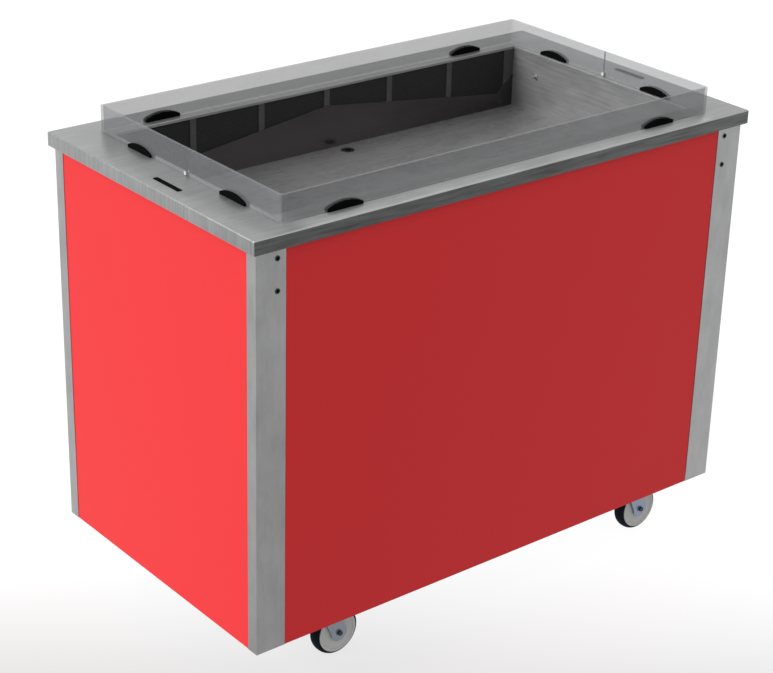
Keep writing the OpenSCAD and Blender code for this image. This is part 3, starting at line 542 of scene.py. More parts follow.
class Bench:
    """Modelling steps, each made with the operators that a person would use."""

    @staticmethod
    def focus(*objects: bpy.types.Object) -> None:
        """Selects these objects alone; the first is active."""
        for other in bpy.context.selected_objects:
            other.select_set(False)
        for each in objects:
            each.select_set(True)
        bpy.context.view_layer.objects.active = objects[0]

    @staticmethod
    def made(name: str) -> bpy.types.Object:
        """Names the object that was just added, and moves its place into its mesh."""
        piece = bpy.context.object
        piece.name = piece.data.name = name
        Bench.focus(piece)
        bpy.ops.object.transform_apply(location=True, rotation=True, scale=True)
        return piece

    @staticmethod
    def block(name: str, low: Point, high: Point) -> bpy.types.Object:
        """A box between two corners."""
        size = [b - a for a, b in zip(low, high)]
        middle = [(a + b) / 2 for a, b in zip(low, high)]
        bpy.ops.mesh.primitive_cube_add(size=1, location=middle, scale=size)
        return Bench.made(name)

    @staticmethod
    def rod(
        name: str, start: Point, axis: Axis, length: float, radius: float, sides: int = 32,
    ) -> bpy.types.Object:
        """A closed cylinder from start along an axis."""
        middle = Vector(start)
        middle[axis.value] += length / 2
        turn = {Axis.X: (0, math.pi / 2, 0), Axis.Y: (math.pi / 2, 0, 0), Axis.Z: (0, 0, 0)}[axis]
        bpy.ops.mesh.primitive_cylinder_add(
            vertices=sides, radius=radius, depth=abs(length), location=middle, rotation=turn,
        )
        return Bench.made(name)

    @staticmethod
    def turned(
        name: str, outline: list[tuple[float, float]], centre: Point, axis: Axis, steps: int = 48,
    ) -> bpy.types.Object:
        """A turned solid.

        Args:
            name: the piece's name
            outline: closed outline of radius and place along the axis
            centre: the point on the axis where that place is 0
            axis: X, Y or Z
            steps: facets round the axis

        Returns:
            The solid, with its outline drawn as a wire and swept by a Screw modifier.
        """
        curve = bpy.data.curves.new(name, "CURVE")
        curve.dimensions = "3D"
        spline = curve.splines.new("POLY")
        spline.points.add(len(outline) - 1)
        for point, (radius, place) in zip(spline.points, outline):
            point.co = (radius, 0, place, 1)
        spline.use_cyclic_u = True
        wire = bpy.data.objects.new(name, curve)
        bpy.context.scene.collection.objects.link(wire)
        Bench.focus(wire)
        bpy.ops.object.convert(target="MESH")
        piece = bpy.context.object
        screw = piece.modifiers.new("screw", "SCREW")
        screw.steps = screw.render_steps = steps
        screw.use_merge_vertices = True
        screw.merge_threshold = WELD
        Bench.apply(piece)
        Bench.edit(piece)
        bpy.ops.mesh.select_all(action="SELECT")
        bpy.ops.mesh.remove_doubles(threshold=WELD)
        bpy.ops.mesh.normals_make_consistent(inside=False)
        Bench.close()
        turn = {Axis.X: (0, math.pi / 2, 0), Axis.Y: (-math.pi / 2, 0, 0), Axis.Z: (0, 0, 0)}[axis]
        piece.rotation_euler = turn
        piece.location = centre
        return Bench.made(name)

    @staticmethod
    def edit(piece: bpy.types.Object, mode: str = "FACE") -> None:
        """Opens edit mode with nothing selected."""
        Bench.focus(piece)
        bpy.ops.object.mode_set(mode="EDIT")
        bpy.ops.mesh.select_mode(type=mode)
        bpy.ops.mesh.select_all(action="DESELECT")

    @staticmethod
    def apply(piece: bpy.types.Object) -> None:
        """Applies every modifier."""
        Bench.focus(piece)
        for modifier in list(piece.modifiers):
            bpy.ops.object.modifier_apply(modifier=modifier.name)

    @staticmethod
    def pick_edges(piece: bpy.types.Object, test: Test) -> int:
        """Opens edit mode with the edges selected whose middle and direction pass the test.

        Returns:
            How many edges are selected.
        """
        Bench.edit(piece, "EDGE")
        Bench.close()
        mesh, count = piece.data, 0
        for edge in mesh.edges:
            a, b = (mesh.vertices[i].co for i in edge.vertices)
            edge.select = test((a + b) / 2, (b - a).normalized())
            count += edge.select
        bpy.ops.object.mode_set(mode="EDIT")
        return count

    @staticmethod
    def pick_faces(piece: bpy.types.Object, test: Test) -> int:
        """Opens edit mode with the faces selected whose middle and normal pass the test.

        Returns:
            How many faces are selected.
        """
        Bench.edit(piece)
        Bench.close()
        count = 0
        for face in piece.data.polygons:
            face.select = test(face.center, face.normal)
            count += face.select
        bpy.ops.object.mode_set(mode="EDIT")
        return count

    @staticmethod
    def close() -> None:
        """Leaves edit mode."""
        bpy.ops.object.mode_set(mode="OBJECT")

    @staticmethod
    def round_edges(piece: bpy.types.Object, test: Test, width: float, segments: int = 2) -> None:
        """Rounds the edges that pass the test."""
        if Bench.pick_edges(piece, test):
            bpy.ops.mesh.bevel(offset=width, segments=segments, affect="EDGES", clamp_overlap=True)
        Bench.close()

    @staticmethod
    def weigh(piece: bpy.types.Object, shortest: float, angle: float) -> None:
        """Weighs the sharp edges longer than a length, so that a bevel leaves the rims of small holes."""
        Bench.edit(piece, "EDGE")
        bpy.ops.mesh.edges_select_sharp(sharpness=math.radians(angle))
        Bench.close()
        mesh = piece.data
        weights = mesh.attributes.new("bevel_weight_edge", "FLOAT", "EDGE").data
        for edge, weight in zip(mesh.edges, weights):
            a, b = (mesh.vertices[i].co for i in edge.vertices)
            long = (a - b).length > shortest
            weight.value = float(edge.select and long)
            edge.use_edge_sharp = edge.select and not long

    @staticmethod
    def soften(
        piece: bpy.types.Object, width: float, segments: int = 2, angle: float = 32.0, shortest: float = 0.0,
    ) -> None:
        """Breaks the sharp edges, and shades the piece smooth with its flats kept flat.

        Args:
            piece: the piece
            width: the width of the bevel, or 0 for the shading alone
            segments: facets across the bevel
            angle: how many degrees an edge turns before it is sharp
            shortest: where it isn't 0, edges no longer than this are left as they are
        """
        Bench.focus(piece)
        if not width:
            bpy.ops.object.shade_smooth_by_angle(angle=math.radians(angle))
            return
        if shortest:
            Bench.weigh(piece, shortest, angle)
        bpy.ops.object.shade_smooth()
        bevel = piece.modifiers.new("bevel", "BEVEL")
        bevel.width = width
        bevel.segments = segments
        bevel.limit_method = "WEIGHT" if shortest else "ANGLE"
        bevel.angle_limit = math.radians(angle)
        bevel.miter_outer = "MITER_ARC"
        bevel.harden_normals = True
        Bench.apply(piece)

    @staticmethod
    def copy_of(node: str, name: str) -> bpy.types.Object:
        """A merged copy of a CAD node's mesh, with its flats made whole."""
        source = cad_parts[node]
        piece = bpy.data.objects.new(name, source.data.copy())
        piece.data.name = name
        piece.data.materials.clear()
        bpy.context.scene.collection.objects.link(piece)
        Bench.edit(piece)
        bpy.ops.mesh.select_all(action="SELECT")
        bpy.ops.mesh.customdata_custom_splitnormals_clear()
        bpy.ops.mesh.remove_doubles(threshold=4 * WELD)
        flat = math.radians(0.4)
        bpy.ops.mesh.dissolve_limited(angle_limit=flat, use_dissolve_boundaries=False, delimit={"NORMAL"})
        bpy.ops.mesh.select_all(action="SELECT")
        bpy.ops.mesh.vert_connect_concave()
        Bench.close()
        return piece

    @staticmethod
    def join(pieces: list[bpy.types.Object], name: str) -> bpy.types.Object:
        """Joins pieces into one."""
        Bench.focus(*pieces)
        if len(pieces) > 1:
            bpy.ops.object.join()
        piece = bpy.context.view_layer.objects.active
        piece.name = piece.data.name = name
        return piece

    @staticmethod
    def repeat(piece: bpy.types.Object, steps: Iterable[Matrix]) -> list[bpy.types.Object]:
        """Copies of a piece, each with its own mesh, moved by each step."""
        copies = []
        for step in steps:
            twin = bpy.data.objects.new(piece.name, piece.data.copy())
            bpy.context.scene.collection.objects.link(twin)
            twin.data.transform(step)
            copies.append(twin)
        return copies


def about(centre: Point, axis: Axis, turn: float) -> Matrix:
    """A turn in radians about an axis through a point."""
    there = Matrix.Translation(centre)
    return there @ Matrix.Rotation(turn, 4, axis.name) @ there.inverted()


class Assembly:
    """What every sub-assembly shares: dressing and hanging its pieces."""

    def hang(
        self, piece: bpy.types.Object, body: str, finish: Finish, slot: str, *nodes: str,
    ) -> bpy.types.Object:
        """Dresses a piece and hangs it on its body.

        Args:
            piece: the finished piece
            body: the body that it moves with
            finish: its finish, unless it has its materials already
            slot: the name of a material slot; not used
            nodes: the CAD nodes that it stands for

        Returns:
            The piece.
        """
        if not piece.data.materials:
            piece.data.materials.append(finish.material)
        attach(piece, body)
        if nodes:
            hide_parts(*nodes)
        log.info("%s on %s, %d faces", piece.name, body, len(piece.data.polygons))
        return piece

    def refine(
        self, node: str, body: str, finish: Finish, slot: str, width: float, segments: int = 2,
        shortest: float = 0.0,
    ) -> bpy.types.Object:
        """Stands a node's own shape in its place, with its edges broken."""
        piece = Bench.copy_of(node, f"{node}_shape")
        Bench.soften(piece, width, segments, shortest=shortest)
        return self.hang(piece, body, finish, slot, node)

    def paint(self, piece: bpy.types.Object, finish: Finish, test: Test) -> None:
        """Gives the faces that pass the test a second finish."""
        piece.data.materials.append(finish.material)
        index = len(piece.data.materials) - 1
        for face in piece.data.polygons:
            if test(face.center, face.normal):
                face.material_index = index


# ---- Worktop ----


@dataclass
class Worktop(Assembly):
    """Worktop sheet and the two plugs in its slots.

    Faces within side of the outside are its edges; the long ones carry painted shade. The long edges' bends
    look outwards by more than bend_out and upwards by more than bend_up, and carry a painted highlight.
    """

    side: float = 2.0 * MM
    bend_out: float = 0.2
    bend_up: float = 0.25
    bend: float = 3.0 * MM
    lip_bend: float = 1.2 * MM

    def build(self) -> None:
        """Builds the worktop and the plugs."""
        low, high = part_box("worktop")
        piece = Bench.copy_of("worktop", "worktop_sheet")
        near = 0.2 * MM

        def outer(middle: Vector, way: Vector) -> bool:
            """The folded top edges and the corners."""
            rim = min(middle.x - low.x, high.x - middle.x, middle.y - low.y, high.y - middle.y) < near
            return rim and (middle.z > high.z - near or abs(way.z) > ALONG)

        def lip(middle: Vector, way: Vector) -> bool:
            """The folded edge of the opening."""
            well_low, well_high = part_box("well_liner")
            inside = well_low.x < middle.x < well_high.x and well_low.y < middle.y < well_high.y
            return inside and middle.z > high.z - near

        Bench.round_edges(piece, outer, self.bend, 4)
        Bench.round_edges(piece, lip, self.lip_bend, 3)
        Bench.soften(piece, 0.25 * MM)
        piece.data.materials.append(Finish.WORKTOP.material)
        edge = high - Vector(EVEN) * self.side

        def bent(at: Vector, way: Vector) -> bool:
            """The bend along the long edges, which carries a painted highlight."""
            outwards = abs(way.y) > self.bend_out and way.z > self.bend_up
            return outwards and abs(at.y) > high.y - self.bend

        # The long turned-down edges take the darker steel, which is painted shade.
        self.paint(piece, Finish.EDGE, lambda at, way: abs(way.y) > FACING and abs(at.y) > edge.y)
        self.paint(piece, Finish.END, lambda at, way: abs(way.x) > FACING and abs(at.x) > edge.x)
        # The bends take the lighter steel: a painted highlight.
        self.paint(piece, Finish.BEND, bent)
        self.hang(piece, CABINET, Finish.WORKTOP, "stainless", "worktop")
        self.refine("slot_plugs", CABINET, Finish.RUBBER, "black_moulding", 0.4 * MM, 3)


@dataclass
class Guard(Assembly):
    """The clear guard, its clamps and the buttons at its seams.

    The cut edges are what lies within rim of the top, or within seam of a seam and turned to it by more
    than facing.
    """

    rim: float = 1.0 * MM
    seam: float = 0.6 * MM
    facing: float = 0.5

    def build(self) -> None:
        """Builds the two halves, the clamps and the buttons."""
        for half in ("guard_front", "guard_back"):
            low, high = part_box(half)
            piece = Bench.copy_of(half, f"{half}_sheet")
            Bench.soften(piece, 0.5 * MM, 2)
            piece.data.materials.append(Finish.CLEAR.material)
            middle = high.y if half == "guard_front" else low.y

            def cut(at: Vector, way: Vector, top: float = high.z, middle: float = middle) -> bool:
                """The top edges and the edges at the seams."""
                return at.z > top - self.rim or (abs(at.y - middle) < self.seam and abs(way.y) > self.facing)

            self.paint(piece, Finish.CLEAR_EDGE, cut)
            self.hang(piece, CABINET, Finish.CLEAR, "clear_acrylic", half)
        self.refine("guard_clamps", CABINET, Finish.RUBBER, "black_rubber", 0.7 * MM, 3)
        self.refine("seam_buttons", CABINET, Finish.WHITE, "white_plastic", 0.5 * MM, 3)


@dataclass
class Well(Assembly):
    """The chilled well with what shows in it.

    Beyond end and back are the liner's end walls and its back wall, whose darker steel is painted shade. The
    jacket is dark deeper than skin.
    """

    end: float = 0.45
    back: float = 0.25
    skin: float = 8.0 * MM

    def build(self) -> None:
        """Builds the liner, the weir, the mesh, the drain and the probe."""
        liner = Bench.copy_of("well_liner", "well_shape")
        Bench.soften(liner, 0.3 * MM)
        liner.data.materials.append(Finish.LINER.material)
        self.paint(liner, Finish.LINER_END, lambda at, way: abs(way.x) > FACING and abs(at.x) > self.end)
        # The back wall takes the darker steel: painted shade.
        self.paint(liner, Finish.LINER_BACK, lambda at, way: at.y > self.back and abs(way.z) < ALONG)
        self.hang(liner, CABINET, Finish.LINER, "liner_steel", "well_liner")
        self.refine("air_weir", CABINET, Finish.WEIR, "liner_steel", 0.25 * MM)
        self.refine("outlet_honeycomb", CABINET, Finish.COMB, "black_moulding", 0.2 * MM)
        self.refine("drain_fitting", CABINET, Finish.DRAIN, "liner_steel", 0.3 * MM)
        self.refine("temperature_probe", CABINET, Finish.LINER_END, "black_moulding", 0.4 * MM)
        low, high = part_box("insulation_jacket")
        jacket = Bench.copy_of("insulation_jacket", "jacket_shape")
        Bench.soften(jacket, 0.8 * MM)
        jacket.data.materials.append(Finish.FOAM.material)

        def inner(at: Vector, way: Vector) -> bool:
            """The jacket's own walls and floor inside, which carry a dark skin."""
            near = min(at.x - low.x, high.x - at.x, at.y - low.y, high.y - at.y, at.z - low.z)
            return near > self.skin

        self.paint(jacket, Finish.BLACK, inner)
        self.hang(jacket, CABINET, Finish.FOAM, "foam_skin", "insulation_jacket")


class Body(Assembly):
    """Posts, panels, base tray and top frame."""

    def build(self) -> None:
        """Builds the fixed parts of the body."""
        for corner in CASTORS:
            self.refine(f"post_{corner}", CABINET, Finish.POST, "stainless", 0.5 * MM, 3, shortest=1.2 * MM)
        for panel in ("front_panel", "left_panel", "right_panel", "back_panel"):
            self.refine(panel, CABINET, Finish.RED, "red_paint", 0.3 * MM)
        self.refine("rail_inserts", CABINET, Finish.BLACK, "black_moulding", 0.25 * MM)
        self.refine("base_tray", CABINET, Finish.FRAME, "galvanised", 0.4 * MM)
        self.refine("top_frame", CABINET, Finish.FRAME, "galvanised", 0.4 * MM)


class Door(Assembly):
    """The service door, its hinges and its catch."""

    def build(self) -> None:
        """Builds the door and what holds it."""
        self.refine("service_door", "door", Finish.DOOR, "stainless", 0.3 * MM)
        self.refine("door_hinges", CABINET, Finish.DOOR, "stainless", 0.25 * MM)
        self.refine("door_catch", CABINET, Finish.BLACK, "black_moulding", 0.5 * MM)


@dataclass
class Coil(Assembly):
    """A finned coil: thin fins on rows of tube, with bends outside its end plates."""

    node: str
    pitch: float
    fin: float
    tube: float
    rows: int
    columns: int
    plate: float = 1.2 * MM
    lip: float = 9.0 * MM

    def build(self) -> None:
        """Builds the coil in its node's box."""
        low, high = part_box(self.node)
        step_z = (high.z - low.z) / self.rows
        step_y = (high.y - low.y) / self.columns
        reach = step_z / 2 + self.tube + 1 * MM
        left, right = low.x + reach, high.x - reach
        start = left + self.plate + self.pitch
        count = int((right - self.plate - start) / self.pitch)
        inset = 1.5 * MM
        near = (start, low.y + inset, low.z + inset)
        fin = Bench.block("fin", near, (start + self.fin, high.y - inset, high.z - inset))
        fins = Bench.repeat(fin, [Matrix.Translation((self.pitch * i, 0, 0)) for i in range(1, count)])
        sheets = [fin, *fins, self._end(left, 1, low, high), self._end(right, -1, low, high)]
        tubes = []
        for column in range(self.columns):
            y = low.y + step_y * (column + 0.5)
            for row in range(self.rows):
                z = low.z + step_z * (row + 0.5)
                tubes.append(Bench.rod("tube", (left, y, z), Axis.X, right - left, self.tube, 12))
                if row + 1 < self.rows:
                    end, side = (left, -1) if row % 2 else (right, 1)
                    tubes.append(self._bend(end, y, z + step_z / 2, step_z / 2, side))
        for parts, finish in ((sheets, Finish.FINS), (tubes, Finish.COPPER)):
            for part in parts:
                part.data.materials.append(finish.material)
        piece = Bench.join(sheets + tubes, f"{self.node}_core")
        self.hang(piece, CABINET, Finish.FINS, "fins", self.node)

    def _end(self, x: float, side: int, low: Vector, high: Vector) -> bpy.types.Object:
        """An end plate with its two lips folded inwards."""
        across = sorted((x, x + side * self.lip))
        piece = Bench.block("end_plate", (across[0], low.y, low.z), (across[1], high.y, high.z))
        if Bench.pick_faces(piece, lambda at, way: way.x * side > ALONG or abs(way.z) > ALONG):
            bpy.ops.mesh.delete(type="FACE")
        Bench.close()
        wall = piece.modifiers.new("wall", "SOLIDIFY")
        wall.thickness = self.plate
        wall.offset = -1.0
        Bench.soften(piece, 0.3 * MM)
        return piece

    def _bend(self, x: float, y: float, z: float, radius: float, side: int) -> bpy.types.Object:
        """A half turn of tube outside an end plate."""
        bpy.ops.mesh.primitive_torus_add(
            location=(x, y, z), rotation=(math.pi / 2, 0, 0), major_radius=radius, minor_radius=self.tube,
            major_segments=20, minor_segments=10,
        )
        piece = Bench.made("bend")
        Bench.edit(piece)
        bpy.ops.mesh.select_all(action="SELECT")
        bpy.ops.mesh.bisect(plane_co=(x, y, z), plane_no=(side, 0, 0), use_fill=True, clear_inner=True)
        Bench.close()
        Bench.soften(piece, 0)
        return piece


@dataclass
class Rotor(Assembly):
    """An axial fan's rotor: a domed hub with twisted blades."""

    node: str
    body: str
    blades: int
    hub: float
    chord: float
    blade: float = 1.4 * MM
    bore: float = 4.06 * MM
    pitch: float = 34.0
    twist: float = -16.0
    cuts: int = 7

    def build(self) -> None:
        """Builds the rotor about its node's middle."""
        low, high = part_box(self.node)
        middle = (low + high) / 2
        radius = (high.z - low.z) / 2
        half = (high.y - low.y) / 2
        dome = 3 * MM
        outline = [(self.bore, -half), (self.hub - 1 * MM, -half), (self.hub, 1 * MM - half),
                   (self.hub, half - dome), (self.hub - dome, half), (self.bore, half)]
        body = Bench.turned("hub", outline, middle, Axis.Y)
        blade = self._blade(radius - 1 * MM)
        blade.data.transform(Matrix.Translation(middle))
        turns = [about(middle, Axis.Y, math.tau * i / self.blades) for i in range(1, self.blades)]
        piece = Bench.join([body, blade, *Bench.repeat(blade, turns)], f"{self.node}_rotor")
        Bench.soften(piece, 0.3 * MM, 2, 50)
        self.hang(piece, self.body, Finish.BLACK, "black_moulding", self.node)

    def _blade(self, tip: float) -> bpy.types.Object:
        """One blade that stands along Z from the axis at the origin."""
        half, thick = self.chord / 2, self.blade / 2
        piece = Bench.block("blade", (-half, -thick, self.hub * 0.82), (half, thick, tip))

        def corner(at: Vector, way: Vector) -> bool:
            """The edges through the blade's thickness at its tip."""
            return abs(way.y) > ALONG and at.z > tip - 1 * MM

        Bench.round_edges(piece, corner, self.chord * 0.3, 5)
        Bench.edit(piece)
        for cut in range(1, self.cuts):
            height = self.hub + (tip - self.chord * 0.35 - self.hub) * cut / self.cuts
            bpy.ops.mesh.select_all(action="SELECT")
            bpy.ops.mesh.bisect(plane_co=(0, 0, height), plane_no=(0, 0, 1))
        Bench.close()
        twist = piece.modifiers.new("twist", "SIMPLE_DEFORM")
        twist.deform_method = "TWIST"
        twist.deform_axis = "Z"
        twist.angle = math.radians(self.twist)
        Bench.apply(piece)
        piece.data.transform(Matrix.Rotation(math.radians(self.pitch), 4, "Z"))
        return piece


@dataclass
class Compressor(Assembly):
    """The hermetic compressor on its rubber feet."""

    can: float = 75.0 * MM
    height: float = 190.0 * MM
    base: Point = (190.0 * MM, 90.0 * MM, 3.0 * MM)
    foot: tuple[float, float] = (84.0 * MM, 34.0 * MM)
    cover: Point = (24.0 * MM, 60.0 * MM, 64.0 * MM)

    def build(self) -> None:
        """Builds the can, the base, the feet and the terminal cover."""
        low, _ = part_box("compressor")
        x, y, z = low.x + self.base[0] / 2, low.y + self.can, low.z
        r, h, seam = self.can, self.height, 1.6 * MM
        belt = h * 0.56
        outline = [(0, 4 * MM), (r - 24 * MM, 4 * MM), (r - 9 * MM, 12 * MM), (r - 2 * MM, 26 * MM),
                   (r - seam, 40 * MM), (r - seam, belt), (r, belt + 1 * MM), (r, belt + 5 * MM),
                   (r - seam, belt + 6 * MM), (r - seam, h - 46 * MM), (r - 4 * MM, h - 30 * MM),
                   (r - 12 * MM, h - 16 * MM), (r - 26 * MM, h - 5 * MM), (r - 42 * MM, h), (0, h)]
        can = Bench.turned("can", outline, (x, y, z), Axis.Z, 72)
        Bench.soften(can, 0.6 * MM, 2, 40)
        base = self._centred("base", Vector((x, y, z + self.base[2] / 2)), self.base)
        Bench.round_edges(base, lambda at, way: abs(way.z) > ALONG, 12 * MM, 6)
        Bench.soften(base, 0.6 * MM)
        lid = self._centred("lid", Vector((x + r - 4 * MM, y, z + h / 2)), self.cover)
        if Bench.pick_faces(lid, lambda at, way: way.x > ALONG):
            bpy.ops.mesh.inset(thickness=3 * MM, depth=0)
            bpy.ops.mesh.inset(thickness=1.5 * MM, depth=-1 * MM)
        Bench.close()
        Bench.soften(lid, 1.2 * MM, 3)
        feet = []
        grommet = [(2.5 * MM, 0), (8 * MM, 0), (8 * MM, 5 * MM), (6 * MM, 6 * MM), (6 * MM, 10 * MM),
                   (8 * MM, 11 * MM), (8 * MM, 15 * MM), (6.5 * MM, 16 * MM), (2.5 * MM, 16 * MM)]
        for sx, sy in ((-1, -1), (-1, 1), (1, -1), (1, 1)):
            centre = (x + sx * self.foot[0], y + sy * self.foot[1], z)
            foot = Bench.turned("foot", grommet, centre, Axis.Z, 24)
            Bench.soften(foot, 0.4 * MM)
            foot.data.materials.append(Finish.RUBBER.material)
            feet.append(foot)
        for part in (can, base, lid):
            part.data.materials.append(Finish.CAN.material)
        piece = Bench.join([can, base, lid, *feet], "compressor_can")
        self.hang(piece, CABINET, Finish.CAN, "black_moulding", "compressor")

    @staticmethod
    def _centred(name: str, middle: Vector, size: Point) -> bpy.types.Object:
        """A box about its middle."""
        return Bench.block(name, middle - Vector(size) / 2, middle + Vector(size) / 2)


class Cooling(Assembly):
    """The refrigeration unit and the drain under the well."""

    def build(self) -> None:
        """Builds the coils, the fans, the compressor and the pipes."""
        Coil("evaporator", 6 * MM, 0.4 * MM, 4.5 * MM, 4, 3).build()
        Coil("condenser", 3.2 * MM, 0.4 * MM, 4.2 * MM, 9, 2).build()
        Rotor("circulation_fan", "duct_rotor", 7, 17 * MM, 25 * MM).build()
        Rotor("condenser_fan", "condenser_rotor", 5, 30 * MM, 36 * MM).build()
        Compressor().build()
        self.refine("fan_deck", CABINET, Finish.FRAME, "galvanised", 0.3 * MM)
        self.refine("condenser_shroud", CABINET, Finish.FRAME, "galvanised", 0.4 * MM)
        self.refine("refrigerant_pipes", CABINET, Finish.COPPER, "copper_pipe", 0.0)
        self.refine("drain_pipe", CABINET, Finish.TUBE, "stainless", 0.5 * MM)
        self.refine("drain_lever", "valve_lever", Finish.GRIP, "red_grip", 0.8 * MM, 3)


@dataclass
class Controls(Assembly):
    """The control panel and the cable's entry."""

    ticks: int = 11
    sweep: float = 270.0
    tick_r: float = 21.0 * MM
    flutes: int = 20

    def build(self) -> None:
        """Builds the box, the knob, the switch and the gland."""
        self.box()
        self.knob()
        self.refine("power_switch", "rocker", Finish.ROCKER, "green_rocker", 0.8 * MM, 3)
        self.refine("mains_inlet", CABINET, Finish.BLACK, "black_moulding", 0.5 * MM)

    def box(self) -> None:
        """Builds the control box with the dial's ticks on its face."""
        low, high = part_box("thermostat_knob")
        middle = (low + high) / 2
        face = low.y - 0.3 * MM
        piece = Bench.copy_of("control_box", "control_case")
        Bench.soften(piece, 0.8 * MM, 3)
        piece.data.materials.append(Finish.BLACK.material)
        half = 0.6 * MM
        near = (middle.x - half, face - 0.3 * MM, middle.z + self.tick_r)
        tick = Bench.block("tick", near, (middle.x + half, face + 0.15 * MM, near[2] + 3.5 * MM))
        Bench.soften(tick, 0.1 * MM, 1)
        tick.data.materials.append(Finish.WHITE.material)
        centre = (middle.x, face, middle.z)
        turns = [math.radians(self.sweep * (i / (self.ticks - 1) - 0.5)) for i in range(self.ticks)]
        marks = Bench.repeat(tick, [about(centre, Axis.Y, turn) for turn in turns if abs(turn) > WELD])
        piece = Bench.join([piece, tick, *marks], "control_case")
        self.hang(piece, CABINET, Finish.BLACK, "black_moulding", "control_box")

    def knob(self) -> None:
        """Builds the fluted knob with its pointer."""
        low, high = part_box("thermostat_knob")
        middle = (low + high) / 2
        skirt_r = (high.z - low.z) / 2
        grip_r = skirt_r - 4 * MM
        depth = high.y - low.y
        bore, bore_l = 3.06 * MM, depth - 1 * MM
        outline = [(bore, 0), (skirt_r - 0.6 * MM, 0), (skirt_r, 0.6 * MM), (skirt_r, 1.4 * MM),
                   (skirt_r - 0.6 * MM, 2 * MM), (grip_r, 2 * MM), (grip_r - 0.4 * MM, depth - 1 * MM),
                   (grip_r - 1.4 * MM, depth), (0, depth), (0, bore_l), (bore, bore_l)]
        foot = (middle.x, low.y, middle.z)
        piece = Bench.turned("thermostat_grip", outline, foot, Axis.Y, self.flutes * 4)
        Bench.soften(piece, 0.15 * MM, 1, 40)
        piece.data.materials.append(Finish.NYLON.material)
        pointer = Bench.block("pointer", (middle.x - 0.7 * MM, high.y - 0.6 * MM, middle.z + 3 * MM),
                              (middle.x + 0.7 * MM, high.y - 0.02 * MM, middle.z + grip_r - 1.6 * MM))
        pointer.data.materials.append(Finish.BLACK.material)
        rib = Bench.block("rib", (middle.x - 0.8 * MM, low.y + 2.2 * MM, middle.z + grip_r - 1 * MM),
                          (middle.x + 0.8 * MM, high.y - 1.4 * MM, middle.z + grip_r + 0.7 * MM))
        Bench.soften(rib, 0.4 * MM, 2)
        rib.data.materials.append(Finish.NYLON.material)
        turns = [about(middle, Axis.Y, math.tau * i / self.flutes) for i in range(1, self.flutes)]
        parts = [piece, pointer, rib, *Bench.repeat(rib, turns)]
        self.hang(Bench.join(parts, "thermostat_grip"), "knob", Finish.NYLON, "grey_nylon", "thermostat_knob")


